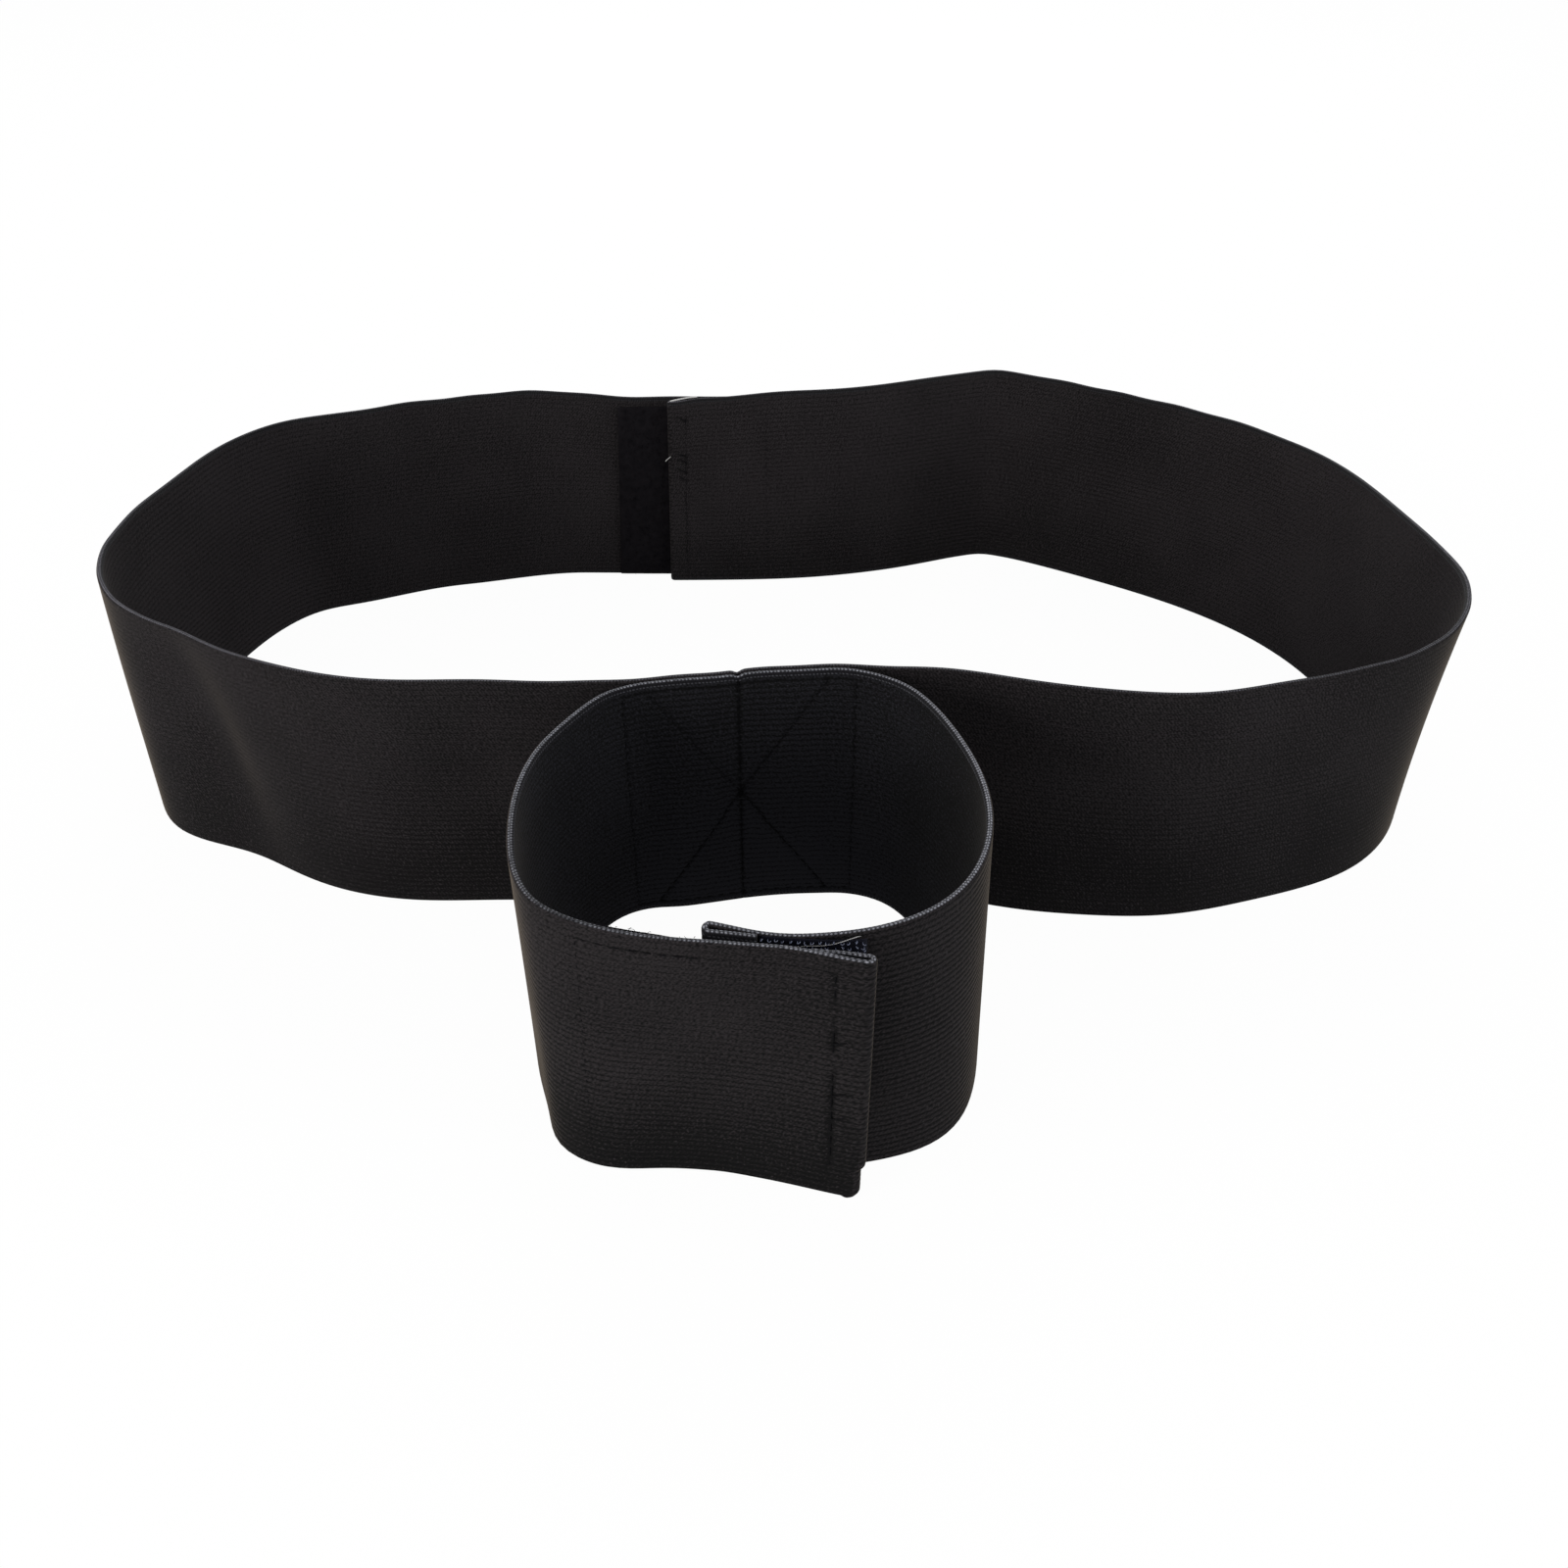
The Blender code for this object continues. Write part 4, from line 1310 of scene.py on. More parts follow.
@dataclass
class TapeBuilder:
    """Makes the two kinds of fastening tape.

    The hooks and fibres of the real tapes are finer and closer. These are as coarse as
    they need to be to show.
    """

    finishes: Finishes
    clear: float = 0.04 * MM
    slab_step: float = 1.0 * MM
    slab_corners: int = 75
    tufts_per_mm: int = 34
    backing: float = 0.75 * MM
    pile: float = 1.45 * MM
    hook: float = 1.5 * MM
    hook_along: float = 1.45 * MM
    hook_up: float = 1.25 * MM
    hook_bend: float = 0.33 * MM
    hook_radius: float = 0.1 * MM
    hook_foot: float = 0.5 * MM
    hook_turn: float = 0.35
    weave_fuzz: float = 0.05 * MM
    pile_fuzz: float = 0.16 * MM
    fibre_radius: float = 0.05 * MM
    fibre_reach: float = 0.75 * MM
    fibre_rise: float = 0.24 * MM
    fibre_bend: float = 0.12 * MM

    def slab(self, strip: Strip, area: TapeArea, thick: float, fuzz: float) -> Shape:
        """Carry a round-edged section along the tape's run.

        The section's half thickness is the root of one less the 40th power of the share
        across the tape, the ends taper by the root of one less the 60th power, and the
        outer face rises and falls by two sines of a few millimetres that cross each other.

        Args:
            strip: The strip that the tape is sewn to.
            area: Where the tape lies.
            thick: The tape's thickness.
            fuzz: Height of the unevenness.

        Returns:
            Corners, faces and flat places.
        """
        low, high = min(area.start, area.end), max(area.start, area.end)
        along = np.linspace(low, high, int((high - low) / self.slab_step) + 1)
        across = np.sin(np.linspace(-1, 1, self.slab_corners) * math.pi / 2 * 0.995)
        round_edge = np.clip(1 - np.abs(across) ** 40, 0, 1) ** 0.5
        lengthwise = np.linspace(-1, 1, len(along))
        ends = np.clip(1 - np.abs(lengthwise) ** 60, 0.05, 1) ** 0.5
        up = area.heights(strip, along[:, None], (across[None] + 1) / 2)
        uneven = fuzz * (np.sin(along[:, None] * 4100 + 3 * np.sin(up * 1300))
                         * np.sin(up * 3700 + 2 * np.sin(along[:, None] * 1700)))
        near = strip.stock.thickness / 2 + self.clear
        middle = near + thick / 2
        half = thick / 2 * round_edge[None] * ends[:, None]
        place = area.shifted(along[:, None], (across[None] + 1) / 2)
        outside = strip.surface(place, up, area.face * (middle + half + uneven * round_edge))
        inside = strip.surface(place, up, area.face * (middle - half))
        points = there_and_back(outside, inside)
        quads = closed_tube(*points.shape[:2], area.face * strip.loop.forward < 0)
        flat_up = there_and_back(up, up + 2 * strip.stock.width)
        flat = np.stack(np.broadcast_arrays(along[:, None], flat_up), axis=-1) / MM
        return points.reshape(-1, 3), quads, flat.reshape(-1, 2)

    def hairs(self, strip: Strip, area: TapeArea, path: Array, radius: float, along: Array,
              share: Array, twist: Array, sides: int = 4) -> Shape:
        """Carry a small round section along one short path, again and again over a tape.

        Args:
            strip: The strip that the tape is sewn to.
            area: Where the tape lies.
            path: The path's points: ahead, beside, and out of the cloth.
            radius: The section's radius.
            along: Where each copy stands along the strip.
            share: Where each copy stands across the tape.
            twist: How far each copy is turned about its foot.
            sides: Corners of the section.

        Returns:
            Corners, faces and flat places.
        """
        heading = unit(np.gradient(path, axis=0))
        first = unit(np.cross(heading, np.array([0.13, 0.97, 0.21])))
        second = np.cross(heading, first)
        turn = np.arange(sides) / sides * 2 * np.pi
        circle = (first[:, None] * np.cos(turn)[:, None]
                  + second[:, None] * np.sin(turn)[:, None])
        ring = path[:, None] + radius * circle
        cos, sin = np.cos(twist)[:, None, None], np.sin(twist)[:, None, None]
        ahead = ring[None, ..., 0] * cos - ring[None, ..., 1] * sin
        beside = ring[None, ..., 0] * sin + ring[None, ..., 1] * cos
        here = area.shifted(along, share)[:, None, None] + ahead
        foot = area.heights(strip, along, share)[:, None, None]
        above = np.broadcast_to(ring[None, ..., 2], here.shape)
        out = strip.stock.thickness / 2 + self.clear + above
        points = strip.surface(here, foot + beside, area.face * out)
        quads = many_tubes(len(along), len(path), sides, area.face * strip.loop.forward < 0)
        flat = np.stack([here, foot + beside], axis=-1).reshape(-1, 2) / MM
        return points.reshape(-1, 3), quads, flat

    def loop_tape(self, name: str, strip: Strip, area: TapeArea, seed: int) -> bpy.types.Object:
        """Build the soft tape: a felted slab under a scatter of thin arched fibres.

        A fibre is half an ellipse that a sine of twice the turn bends sideways.

        Args:
            name: The piece's name.
            strip: The strip that the tape is sewn to.
            area: Where the tape lies.
            seed: The scatter's seed.

        Returns:
            The new piece.
        """
        rng = np.random.default_rng(seed)
        base = self.slab(strip, area, self.pile, self.pile_fuzz)
        count = int(abs(area.end - area.start) / MM * self.tufts_per_mm)
        turn = np.linspace(0, math.pi, 6)
        rise = self.pile - self.fibre_rise / 2 + self.fibre_rise * np.sin(turn)
        path = np.stack([self.fibre_reach * -np.cos(turn),
                         self.fibre_bend * np.sin(2 * turn), rise], axis=1)
        along = rng.uniform(min(area.start, area.end), max(area.start, area.end), count)
        share = rng.uniform(0.002, 0.998, count)
        twist = rng.uniform(0, math.pi * 2, count)
        tufts = self.hairs(strip, area, path, self.fibre_radius, along, share, twist)
        return self.joined(name, base, tufts, [self.finishes.pile, self.finishes.pile])

    def hook_tape(self, name: str, strip: Strip, area: TapeArea) -> bpy.types.Object:
        """Build the stiff tape: a woven backing with rows of small hooks.

        A hook is a stem with 200 degrees of a circle at its top. Every other row faces
        the other way, and each hook is turned and moved a little at random.

        Args:
            name: The piece's name.
            strip: The strip that the tape is sewn to.
            area: Where the tape lies.

        Returns:
            The new piece.
        """
        base = self.slab(strip, area, self.backing, self.weave_fuzz)
        turn = np.radians(np.array([0, 35, 75, 115, 155, 200]))
        bend = self.hook_bend
        arch = np.stack([bend - bend * np.cos(turn), 0 * turn,
                         self.hook - bend + bend * np.sin(turn)], axis=1)
        path = np.vstack([[0.0, 0.0, self.hook_foot], arch])
        run = abs(area.end - area.start)
        columns = int(run / self.hook_along)
        rows = int((strip.stock.width - strip.tape_low - strip.tape_high) / self.hook_up)
        column, row = np.meshgrid(np.arange(columns), np.arange(rows), indexing="ij")
        rng = np.random.default_rng(11)
        along = min(area.start, area.end) + (column + 0.35 + 0.3 * (row % 2)) / columns * run
        along = along + rng.uniform(-0.2, 0.2, along.shape) * MM
        share = (row + 0.5 + rng.uniform(-0.16, 0.16, row.shape)) / rows
        facing = np.where(row % 2 == 0, self.hook_turn, math.pi - self.hook_turn)
        twist = facing + rng.normal(0.0, 0.5, row.shape)
        hooks = self.hairs(strip, area, path, self.hook_radius, along.ravel(), share.ravel(),
                           twist.ravel())
        return self.joined(name, base, hooks, [self.finishes.ground, self.finishes.hooks])

    @staticmethod
    def joined(name: str, ground: Shape, hairs: Shape,
               looks: Sequence[bpy.types.Material]) -> bpy.types.Object:
        """Put a tape's ground and its hairs into one piece.

        Args:
            name: The piece's name.
            ground: The slab.
            hairs: The fibres or hooks.
            looks: The ground's material and the hairs'.

        Returns:
            The new piece.
        """
        points = np.concatenate([ground[0], hairs[0]])
        quads = np.concatenate([ground[1], hairs[1] + len(ground[0])])
        flat = np.concatenate([ground[2], hairs[2]])
        piece = put_mesh(name, points, quads, flat, looks, np.arange(len(quads)) >= len(ground[1]))
        LOG.info("%s: %d faces", name, len(quads))
        return piece


# ------------------------------------------------------------------ the belt's plan
@dataclass(frozen=True)
class SeamPlan:
    """The boxed and crossed seam that holds the cuff to the waist strip.

    The box lies its edge inside the strip's edges, and the cross its inset inside the box.
    """

    box: float = 61.0 * MM
    edge: float = 2.8 * MM
    inset: float = 7.0 * MM
    margin: float = 3.0 * MM

    def rows(self, width: float) -> tuple[Row, ...]:
        """Return the seam's rows on the flat cloth: box, cross and centre line.

        Args:
            width: The strip's width.

        Returns:
            Four sides of the box, four arms of the cross and the centre line.
        """
        half, low, high = self.box / 2, self.edge, width - self.edge
        reach, middle = half - self.inset, width / 2
        box = (((-half, low), (half, low)), ((-half, high), (half, high)),
               ((-half, low), (-half, high)), ((half, low), (half, high)))
        cross = (((-reach, low), (0.0, middle), 0.3), ((0.0, middle), (reach, high), 0.2),
                 ((-reach, high), (0.0, middle), 0.1), ((0.0, middle), (reach, low), 0.32))
        return (*(Row(start, end, pull=0.16 * MM) for start, end in box),
                *(Row(start, end, pull=pull * MM) for start, end, pull in cross),
                Row((0.0, 0.6 * MM), (0.0, width - 0.4 * MM), 2.6 * MM, 0.5 * MM, 0.3))


@dataclass
class BeltPlan:
    """How the two loops lie, in the CAD model's own frame."""

    stock: Stock = field(default_factory=Stock)
    seam: SeamPlan = field(default_factory=SeamPlan)
    waist_across: float = 393.5 * MM
    waist_along: float = 214.1 * MM
    cuff_side: float = 107.0 * MM
    cuff_reach: float = 93.5 * MM
    seam_at: float = -0.042
    panel_ease: tuple[float, float] = (6.5 * MM, 2.5 * MM)
    samples: int = 3000
    waist_shares: tuple[tuple[float, float], ...] = (
        (0.017, -0.897), (0.119, -0.893), (0.272, -0.925), (0.425, -0.985), (0.552, -1.000),
        (0.700, -0.938), (0.874, -0.797), (0.966, -0.597), (1.000, -0.371), (0.983, -0.107),
        (0.956, 0.128), (0.882, 0.407), (0.774, 0.618), (0.634, 0.800), (0.512, 0.933),
        (0.415, 1.000), (0.333, 0.972), (0.221, 0.891), (0.078, 0.829), (-0.106, 0.804),
        (-0.300, 0.802), (-0.494, 0.795), (-0.652, 0.738), (-0.790, 0.631), (-0.856, 0.580),
        (-0.912, 0.467), (-0.963, 0.241), (-1.000, -0.098), (-0.984, -0.380), (-0.907, -0.599),
        (-0.769, -0.772), (-0.626, -0.897), (-0.519, -0.940), (-0.341, -0.943),
        (-0.162, -0.934))
    cuff_right: tuple[tuple[float, float], ...] = (
        (0.762, 0.052), (0.903, 0.156), (1.016, 0.312), (1.085, 0.506), (1.060, 0.731),
        (0.950, 0.875), (0.780, 0.976), (0.556, 1.028), (0.292, 1.030), (0.028, 1.013))
    cuff_left: tuple[tuple[float, float], ...] = (
        (-0.292, 0.998), (-0.556, 0.990), (-0.726, 0.952), (-0.838, 0.860), (-0.901, 0.703),
        (-0.913, 0.530), (-0.856, 0.336), (-0.744, 0.190), (-0.623, 0.098))

    @staticmethod
    def waist_sway() -> tuple[Bulge, ...]:
        """Return the waist loop's bulges: its low left corner, folds and back crease.

        Returns:
            The bulges: place, width, top, foot, slant and belly in each row.
        """
        return Bulge.rows(
            (-179, 18, 0.0, 3.4), (-141, 19, 0.0, -1.0), (-160, 14.5, -1.3, -0.9, 10, -4.0),
            (-202, 15, 0.0, 0.0, 0.0, 0.5), (-262, 28, -0.9, 0.0),
            (224, 42, 2.0, -0.8, 0.0, -1.0), (250, 22, -0.8, -0.2), (437.6, 6, 0.7, 0.7),
            (459, 22, 0.0, -1.5), (508, 25, 0.9, -0.3), (350, 60, 0.8, -0.8),
            (-350, 50, -0.9, 0.8), (20, 22, -1.5, 0.0), (58, 20, -1.6, 0.0),
            (-42, 18, 1.2, 0.0), (76, 20, 0.0, 1.7), (-72, 20, 0.0, -0.8),
            (-20, 18, 0.0, 1.9))

    @staticmethod
    def cuff_sway() -> tuple[Bulge, ...]:
        """Return the cuff's bulges: its feet spread at the corners and draw in between.

        Returns:
            The bulges: place, width, top, foot, slant and belly in each row.
        """
        return Bulge.rows(
            (-130, 12, 0.0, 3.0), (-120, 7, 0.0, 1.0), (-108, 13, 0.0, -1.0),
            (-60, 14, 0.0, 1.0), (-156, 14, 0.0, -1.8), (-187, 11, 0.0, 0.4),
            (127, 14, 0.0, 2.4), (150, 14, 0.0, -0.8), (104, 24, 0.0, 2.0),
            (-83, 22, 0.5, 1.6), (20, 22, 1.5, 0.0), (-38, 16, -1.1, 0.0),
            (-20, 18, 0.0, -1.9))

    def curves(self) -> tuple[PlanCurve, PlanCurve]:
        """Return the two loops' middle lines.

        The cuff's line follows the waist loop's one layer outside it along the seam, and
        its sides are shares of its width and reach from there.

        Returns:
            The waist loop's curve, then the cuff's.
        """
        stock, seam = self.stock, self.seam
        half = np.array([self.waist_across - stock.thickness,
                         self.waist_along - stock.thickness]) / 2
        raw = np.asarray(self.waist_shares) * half
        dense = PlanCurve.spline(raw, self.samples)
        front = dense[dense[:, 1] < 0]
        seam_point = front[int(np.argmin(np.abs(front[:, 0] - self.seam_at * half[0])))]
        waist = PlanCurve(raw, seam_point, 1.0, self.samples)
        layer = stock.thickness + stock.gap
        run = np.linspace(self.panel_ease[0] - seam.box / 2, seam.box / 2 - self.panel_ease[1], 10)
        panel = waist.at(run) + waist.outward(run) * layer
        scale = np.array([self.cuff_side / 2, -self.cuff_reach])
        sides = [np.asarray(shares) * scale + seam_point
                 for shares in (self.cuff_right, self.cuff_left)]
        start = waist.at(np.array([0.0]))[0] + waist.outward(np.array([0.0]))[0] * layer
        return waist, PlanCurve(np.vstack([panel, *sides]), start, -1.0, self.samples)

    def waist(self, loop: PlanCurve) -> Strip:
        """Lay the waist strip along its curve.

        Its rows of stretches and of painted light and shade give face, place, width,
        amount, and the band up the strip that they keep to.

        Args:
            loop: The waist loop's curve.

        Returns:
            The waist strip.
        """
        strip = Strip(loop, self.stock, inner_end=0.5552 * loop.length, lap=40 * MM,
                      leave=44 * MM, lead=34 * MM, outer_neck=3.5 * MM, inner_neck=1.9 * MM,
                      neck_run=52 * MM, tape_low=0.5 * MM, tape_high=6.6 * MM,
                      inner_skew=(-0.9 * MM, -2.7 * MM), sway=self.waist_sway(),
                      even=(0.25, 0.32))
        strip.stretches = Stretch.rows(
            (1.0, -75, 45, 0.3, -1.0, 0.6), (1.0, 115, 60, 0.18, -1.0, 0.7),
            (-1.0, -275, 45, 0.2), (-1.0, 270, 40, -0.2))
        strip.dips = ((strip.inner_end, 8 * MM, 0.9 * MM),)
        # Painted light and shade: a darker foot along the outer front, paler inner faces, a darker
        # foot and paler upper part inside the back, a painted highlight on the outer left side,
        # and further paler and darker stretches.
        strip.wear = Stretch.rows(
            (1.0, 0.0, 270, -0.85, -1.0, 0.6, 0.5), (-1.0, 0.0, 900, 0.12),
            (-1.0, 490, 75, -0.45, -1.0, 0.4, 0.4), (-1.0, 480, 90, 0.18, 0.25, 2.0, 0.4),
            (1.0, -205, 16, 0.25, -1.0, 2.0, 0.3), (1.0, 215, 60, -0.3),
            (-1.0, 405, 30, -0.3), (-1.0, 300, 50, 0.25), (-1.0, -290, 50, 0.25))
        return strip

    def cuff(self, loop: PlanCurve) -> Strip:
        """Lay the cuff strip along its curve.

        Args:
            loop: The cuff's curve.

        Returns:
            The cuff strip.
        """
        strip = Strip(loop, self.stock, inner_end=0.5387 * loop.length, lap=31 * MM,
                      leave=36 * MM, lead=1 * MM, flare=4 * MM, flare_run=20 * MM,
                      outer_skew=(0.3 * MM, 0.0), outer_tuck=(10.2 * MM, 1.0 * MM, 2.1 * MM),
                      sway=self.cuff_sway(), even=(0.5, 0.3))
        strip.stretches = Stretch.rows(
            (-1.0, 2, 36, 0.28), (-1.0, 80, 35, -0.15), (1.0, 120, 50, 0.3),
            (1.0, -150, 44, -0.12, 0.45, 2.0, 0.3), (1.0, -150, 44, 0.15, -1.0, 0.55, 0.3))
        strip.dips = ((strip.inner_end - 15 * MM, 12 * MM, 2.4 * MM),
                      (-140 * MM, 18 * MM, 1.0 * MM))
        # Painted light and shade: a darker foot on the flap, paler lower and darker upper parts
        # inside the panel and the right side, a darker upper part inside the left side, and
        # further paler and darker stretches on the outside.
        strip.wear = Stretch.rows(
            (1.0, -155, 62, -1.25, -1.0, 0.5, 0.5), (1.0, 115, 60, -0.15),
            (1.0, -125, 34, 0.25, 0.2, 2.0, 0.3), (-1.0, 8, 38, 1.0, -1.0, 0.8, 0.7),
            (-1.0, 8, 38, -0.3, 0.6, 2.0, 0.4), (-1.0, 84, 40, -0.9, 0.2, 2.0, 0.55),
            (-1.0, 112, 22, 0.7, -1.0, 0.85, 0.5), (-1.0, -75, 34, -0.35, 0.2, 2.0, 0.6))
        return strip

    def strips(self) -> tuple[Strip, Strip]:
        """Return the waist strip and the cuff strip, centred as the CAD model is.

        Returns:
            The waist strip, then the cuff strip.
        """
        waist_loop, cuff_loop = self.curves()
        strips = self.waist(waist_loop), self.cuff(cuff_loop)
        outline = []
        for strip in strips:
            along = np.linspace(strip.outer_end, strip.inner_end, 4000)
            for face in (-1, 1):
                outline.append(strip.middle(along)
                               + strip.side(along) * face * self.stock.thickness / 2)
        outline = np.vstack(outline)
        centre = (outline.min(axis=0) + outline.max(axis=0)) / 2
        waist_loop.curve = waist_loop.curve - centre
        cuff_loop.curve = cuff_loop.curve - centre
        return strips


@dataclass(frozen=True)
class Bend:
    """A bend line that a length of elastic crosses, with the bodies on its two sides.

    Its lead is the run before the line and its follow the run after it, along the
    strip or along its heading in plan; nothing uses them to bend the piece.
    """

    at: float
    before: str
    after: str
    lead: float = 20 * MM
    follow: float = 20 * MM
    heading: tuple[float, float] | None = None

    def apply(self, piece: bpy.types.Object, strip: Strip, way: float) -> None:
        """Work out the bend line's point and normal, and bake the piece's transform into its mesh;
        the piece is not turned about the line.

        Args:
            piece: The finished piece.
            strip: Its strip.
            way: 1 where the piece runs to larger distances, -1 to smaller. Not used.
        """
        here = np.array([self.at])
        middle, normal = strip.middle(here)[0], strip.side(here)[0]
        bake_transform(piece)


def tape_rows(strip: Strip, start: float, end: float, wave: float = 0.0,
              ticks: Sequence[float] = ()) -> tuple[Row, ...]:
    """Return the box of stitching that holds a tape.

    Args:
        strip: The strip.
        start: The tape's far edge.
        end: The row across the hem.
        wave: How far the upper row drops towards the tip.
        ticks: Shares of the width where a short tacking stitch crosses the hem's row.

    Returns:
        Two rows along, two across and the tacks.
    """
    inset = 2.3 * MM
    scale = strip.stock.width / float(strip.top(np.array([end]))[0])
    low = (strip.tape_low + inset) * scale
    high = (strip.stock.width - strip.tape_high - inset) * scale
    middle = (start + end) / 2
    way, faint, plain = math.copysign(MM, end - start), 0.04 * MM, 0.26 * MM
    tight = 0.46 * MM if wave else 0.2 * MM
    return (Row((start, low), (end, low), pull=faint),
            Row((start, high), (middle, high - wave), pull=plain if wave else faint, uneven=0.6),
            Row((middle, high - wave), (end, high), pull=faint),
            Row((start, low), (start, high), pull=faint),
            Row((end, low), (end, high), 4.1 * MM, tight, 0.85),
            *(Row((end - 0.6 * way, share * high), (end + 3.2 * way, (share + 0.03) * high),
                  5 * MM, plain) for share in ticks))


# ------------------------------------------------------------------ sub-assemblies
def place(piece: bpy.types.Object, body: str, slot: str, *nodes: str) -> None:
    """Let a piece ride on a body in place of CAD nodes.

    Args:
        piece: The finished piece.
        body: The body that it rides on.
        slot: A record's slot for a finish. Not used.
        nodes: The CAD nodes that it stands for.
    """
    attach(piece, body)
    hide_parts(*nodes)
    LOG.info("%s rides on %s", piece.name, body)


@dataclass
class SewnLoop:
    """A strip closed into a loop by two tapes, and every thread that is sewn through it."""

    strip: Strip
    finishes: Finishes
    seam: SeamPlan
    tapes: TapeBuilder
    name: str = ""
    tone: Tone = Tone.WAIST
    slot: str = ""
    outer_body: str = ""
    inner_body: str = ""
    seam_thread: str = ""
    seed: int = 0
    loop_run: float = 50 * MM
    hook_run: float = 26 * MM
    skew: float = 0.0
    wave: float = 0.0
    loop_ticks: tuple[float, ...] = ()
    hook_ticks: tuple[float, ...] = ()
    peel: float = 3.5 * MM
    row_at: float = 5 * MM

    def lengths(self, peel: float) -> tuple[tuple[Length, Bend, tuple[str, str]], ...]:
        """Return the strip's lengths, each with its bend line and its CAD nodes."""
        raise NotImplementedError

    def loose(self) -> tuple[StrayThread, ...]:
        """Return the loose thread ends at the inner end."""
        raise NotImplementedError

    def build(self) -> None:
        """Build the lengths of elastic, the tapes, their stitches and the seam's thread."""
        strip, stock = self.strip, self.strip.stock
        outer = strip.outer_end + stock.hem + stock.gap
        inner = strip.inner_end - stock.hem - stock.gap
        loop_start, hook_start = outer + self.loop_run, inner - self.hook_run
        loop_rows = tape_rows(strip, loop_start, strip.outer_end + self.row_at, self.wave,
                              self.loop_ticks)
        hook_rows = tape_rows(strip, hook_start, strip.inner_end - self.row_at, 0.0,
                              self.hook_ticks)
        seam_rows = self.seam.rows(stock.width)
        strip.seams = [*seam_rows, *loop_rows, *hook_rows]
        half, near, hemmed = self.seam.box / 2 + self.seam.margin, 3 * MM, 8 * MM
        spans = ((loop_start - near, loop_start + near),
                 (strip.outer_end, strip.outer_end + hemmed),
                 (hook_start - near, hook_start + near),
                 (strip.inner_end - hemmed, strip.inner_end))
        builder = BandBuilder(strip, self.tone, self.finishes, fine=(
            (-half, half, 0.52 * MM), *((first, last, 0.8 * MM) for first, last in spans)))
        for length, bend, nodes in self.lengths(loop_start + self.peel):
            piece = builder.build(length)
            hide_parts(*nodes)
            bend.apply(piece, strip, math.copysign(1, length.end - length.start))
        pile = self.tapes.loop_tape(f"{self.name}_pile", strip,
                                    TapeArea(loop_start, outer, -1.0, self.skew), self.seed)
        hooks = self.tapes.hook_tape(f"{self.name}_hooks", strip,
                                     TapeArea(hook_start, inner, 1.0))
        place(pile, self.outer_body, "loop_tape", f"{self.name}_loop_tape")
        place(hooks, self.inner_body, "hook_tape", f"{self.name}_hook_tape")
        self.sew(loop_rows, 1.0, f"{self.name}_pile_stitches", self.outer_body,
                 f"{self.name}_loop_stitching")
        self.sew(hook_rows, -1.0, f"{self.name}_hook_stitches", self.inner_body,
                 f"{self.name}_hook_stitching")
        for thread in self.loose():
            place(thread.mesh(strip, self.finishes.pale_thread), self.inner_body, "thread",
                  f"{self.name}_hook_stitching")
        self.sew(seam_rows, -1.0, f"seam_{self.seam_thread}_stitches", "belt_front",
                 f"seam_{self.seam_thread}_thread")

    def sew(self, rows: Sequence[Row], face: float, name: str, body: str, node: str) -> None:
        """Build rows of stitches and let them ride.

        Args:
            rows: The rows.
            face: 1 for the outside, -1 for the inside.
            name: The piece's name.
            body: The body that it rides on.
            node: The CAD node that it stands for.
        """
        piece = Stitching(tuple(rows), face).mesh(name, self.strip, self.finishes.thread)
        place(piece, body, "thread", node)


@dataclass
class WaistLoop(SewnLoop):
    """The waist strip, its two tapes and the seam's bobbin thread."""

    name: str = "waist"
    slot: str = "elastic"
    outer_body: str = "outer_end"
    inner_body: str = "inner_end"
    seam_thread: str = "bobbin"
    seed: int = 3
    skew: float = 3.2 * MM
    hook_ticks: tuple[float, ...] = (0.63, 0.675, 0.735, 0.77, 0.98)

    def lengths(self, peel: float) -> tuple[tuple[Length, Bend, tuple[str, str]], ...]:
        """Return the waist strip's five lengths.

        Args:
            peel: Where the outer end peels off.

        Returns:
            Each length, the bend line that it crosses and the CAD nodes that it stands for.
        """
        around = self.strip.loop.length
        left, back, right = -243 * MM, -370 * MM, 260 * MM
        return (
            (Length("elastic_front_left", 0.0, left),
             Bend(-0.1643 * around, "belt_front", "left_side"),
             ("waist_front", "waist_left_side")),
            (Length("elastic_left", left, back),
             Bend(-0.3167 * around, "left_side", "left_back"),
             ("waist_left_side", "waist_left_back")),
            (Length("elastic_outer_end", back, self.strip.outer_end, -1.0),
             Bend(peel, "left_back", "outer_end", 18 * MM, 3 * MM),
             ("waist_left_back", "waist_outer_end")),
            (Length("elastic_front_right", 0.0, right),
             Bend(0.1950 * around, "belt_front", "right_side"),
             ("waist_front", "waist_right_side")),
            (Length("elastic_inner_end", right, self.strip.inner_end, 1.0),
             Bend(0.3197 * around, "right_side", "inner_end"),
             ("waist_right_side", "waist_inner_end")))

    def loose(self) -> tuple[StrayThread, ...]:
        """Return the hem's thread tail and the end that lies over the hem.

        Returns:
            The two threads.
        """
        tip, width = self.strip.inner_end, self.strip.stock.width
        face = -self.strip.stock.thickness / 2 - 0.3 * MM
        tail = ((tip + 2.6 * MM, 51.6 * MM, face), (tip + 1.6 * MM, 52.8 * MM, face),
                (tip + 0.6 * MM, 53.6 * MM, face))
        over = ((tip + 0.6 * MM, width + 0.1 * MM, 0.0),
                (tip - 4 * MM, width + 1.1 * MM, 0.1 * MM),
                (tip - 10 * MM, width + 0.4 * MM, 0.2 * MM))
        return (StrayThread("waist_thread_tail", tail, 0.28 * MM),
                StrayThread("waist_thread_over_hem", over, 0.56 * MM))


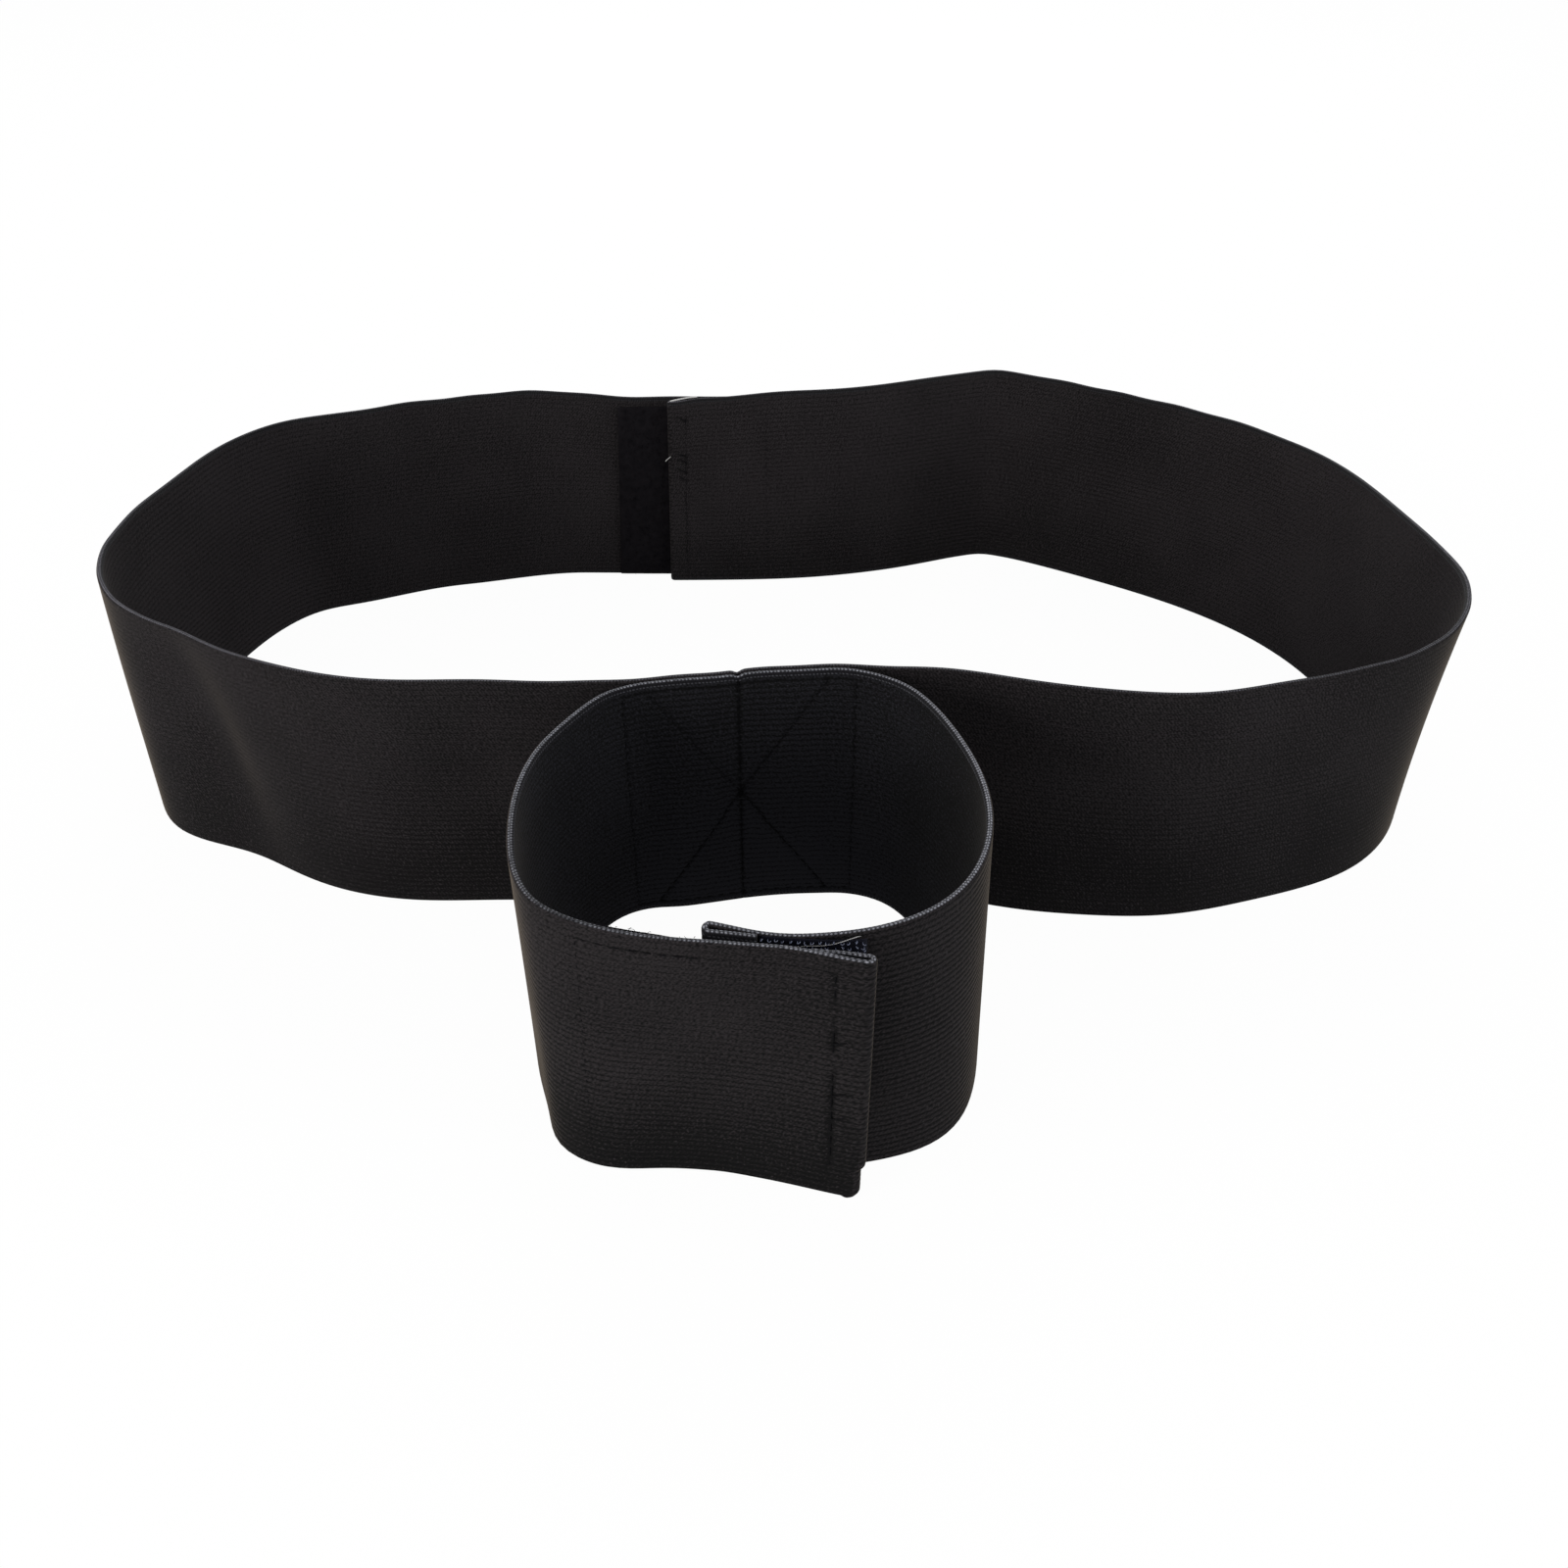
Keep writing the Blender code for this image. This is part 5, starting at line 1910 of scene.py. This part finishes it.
@dataclass
class CuffLoop(SewnLoop):
    """The cuff strip, its two tapes and the seam's needle thread."""

    name: str = "cuff"
    tone: Tone = Tone.CUFF
    slot: str = "cuff_elastic"
    outer_body: str = "cuff_end"
    inner_body: str = "cuff_right"
    seam_thread: str = "needle"
    seed: int = 5
    loop_run: float = 48.5 * MM
    hook_run: float = 22 * MM
    wave: float = 0.5 * MM
    loop_ticks: tuple[float, ...] = (0.36, 0.47, 0.7)

    def lengths(self, peel: float) -> tuple[tuple[Length, Bend, tuple[str, str]], ...]:
        """Return the cuff strip's three lengths.

        Args:
            peel: Where the flap peels off.

        Returns:
            Each length, the bend line that it crosses and the CAD nodes that it stands for.
        """
        edge = self.seam.box / 2 + self.seam.margin
        split = -82 * MM
        return (
            (Length("elastic_cuff_left", 0.0, split),
             Bend(-edge, "belt_front", "cuff_left", 2 * MM, 13 * MM),
             ("cuff_panel", "cuff_left_side")),
            (Length("elastic_cuff_flap", split, self.strip.outer_end, -1.0, 0.9 * MM),
             Bend(peel, "cuff_left", "cuff_end", 14 * MM, 3 * MM),
             ("cuff_left_side", "cuff_flap")),
            (Length("elastic_cuff_right", 0.0, self.strip.inner_end, 1.0),
             Bend(edge, "belt_front", "cuff_right", 2 * MM, 12 * MM, (0.8, -0.6)),
             ("cuff_panel", "cuff_right_side")))

    def loose(self) -> tuple[StrayThread, ...]:
        """Return the curls of thread at the hook tape's upper edge.

        Each place is millimetres back from the tip, down from the edge and out of the face.

        Returns:
            The curls.
        """
        stock, tip = self.strip.stock, self.strip.inner_end
        face, top = stock.thickness / 2, stock.width
        curls = (((31.0, 0.6, 0.5), (28.0, 0.2, 0.9), (24.5, 3.4, 1.2), (21.5, 0.6, 1.0),
                  (17.5, 2.4, 0.6)),
                 ((15.5, 1.0, 0.5), (13.0, 2.2, 0.9), (10.0, 2.6, 0.6)),
                 ((18.6, 1.6, 0.7), (17.0, 4.2, 1.4), (15.6, 1.6, 0.8)))
        return tuple(StrayThread(f"cuff_thread_curl_{number}",
                                 tuple((tip - back * MM, top - down * MM, face + out * MM)
                                       for back, down, out in curl), 0.14 * MM)
                     for number, curl in enumerate(curls))


# ------------------------------------------------------------------ studio
@dataclass(frozen=True)
class Studio:
    """A plain pale floor, soft lamps and the camera."""

    lens: float = 33.75
    eye: tuple[float, float, float] = (3.85 * MM, -366.2 * MM, 279.3 * MM)
    dip: float = 37.115
    lit: tuple[float, float, float] = (0.0, 0.0, 0.03)
    floor_side: float = 6.0
    floor_level: float = -0.2 * MM

    def build(self) -> None:
        """Build the floor, the light and the camera."""
        scene = bpy.context.scene
        scene.view_settings.view_transform = "Standard"
        self.floor()
        world = scene.world or bpy.data.worlds.new("studio")
        scene.world = world
        world.use_nodes = True
        tree = world.node_tree
        tree.nodes.clear()
        rays = add_node(tree, "ShaderNodeLightPath").outputs
        seen = add_node(tree, MATH, (rays["Is Camera Ray"], rays["Is Glossy Ray"]),
                        operation="MAXIMUM")
        strength = add_node(tree, RANGE, {"Value": seen, "To Min": 0.5, "To Max": 1.0})
        light = add_node(tree, "ShaderNodeBackground", {"Color": WHITE, "Strength": strength})
        add_node(tree, "ShaderNodeOutputWorld", {"Surface": light})
        self.lamp("key", (-1.15, -0.75, 0.36), 0.8, 16.0, (1.0, 0.97, 0.93))
        self.lamp("fill", (1.05, -0.4, 0.4), 0.7, 6.0)
        self.lamp("rim", (0.0, 1.15, 0.9), 1.1, 8.0)
        camera = bpy.data.cameras.new("camera")
        camera.sensor_width = 36.0
        camera.lens = self.lens
        camera.clip_start = 0.01
        made = bpy.data.objects.new("camera", camera)
        made.location = self.eye
        made.rotation_euler = (math.radians(90 - self.dip), 0.0, 0.0)
        scene.collection.objects.link(made)
        scene.camera = made

    def lamp(self, name: str, spot: tuple[float, float, float], size: float,
             power: float, tint: tuple[float, float, float] = (1.0, 1.0, 1.0)) -> None:
        """Add a square soft lamp that looks at the middle of the belt.

        Args:
            name: The lamp's name.
            spot: Where it stands.
            size: Its side.
            power: Its power, in watts.
            tint: Its linear colour.
        """
        data = bpy.data.lights.new(name, "AREA")
        data.size = size
        data.energy = power
        data.color = tint
        made = bpy.data.objects.new(name, data)
        made.location = spot
        towards = Vector(self.lit) - Vector(spot)
        made.rotation_euler = towards.to_track_quat("-Z", "Y").to_euler()
        bpy.context.scene.collection.objects.link(made)

    def floor(self) -> None:
        """Add the floor: painted board that shows white and keeps a soft shadow."""
        side = self.floor_side
        mesh = bpy.data.meshes.new("floor")
        corners = ((-side, -side), (side, -side), (side, side), (-side, side))
        mesh.from_pydata([(x, y, self.floor_level) for x, y in corners], [], [(0, 1, 2, 3)])
        made = bpy.data.objects.new("floor", mesh)
        bpy.context.scene.collection.objects.link(made)
        look, tree = new_look("painted_board")[:2]
        tree.nodes.clear()
        seen = add_node(tree, "ShaderNodeLightPath").outputs["Is Camera Ray"]
        share = add_node(tree, RANGE, {"Value": seen, "To Min": 0.5, "To Max": 0.97})
        paint = add_node(tree, MIX, {"Factor": seen, 6: linear("#a9a9a9"),
                                     7: linear("#fcfcfc")}, data_type="RGBA")
        strength = add_node(tree, RANGE, {"Value": seen, "To Min": 0.6, "To Max": 1.0})
        board = add_node(tree, "ShaderNodeBsdfDiffuse", {"Color": paint.outputs[2]})
        glow = add_node(tree, "ShaderNodeEmission", {"Color": WHITE, "Strength": strength})
        mixed = add_node(tree, "ShaderNodeMixShader", (share, board, glow))
        add_node(tree, "ShaderNodeOutputMaterial", {"Surface": mixed})
        mesh.materials.append(look)


def main() -> None:
    """Load the frame, dress it and light it."""
    logging.basicConfig(level=logging.INFO, format="%(name)s: %(message)s")
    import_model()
    finishes = Finishes()
    plan = BeltPlan()
    waist, cuff = plan.strips()
    tapes = TapeBuilder(finishes)
    WaistLoop(waist, finishes, plan.seam, tapes).build()
    CuffLoop(cuff, finishes, plan.seam, tapes).build()
    Studio().build()


if __name__ == "__main__":
    main()
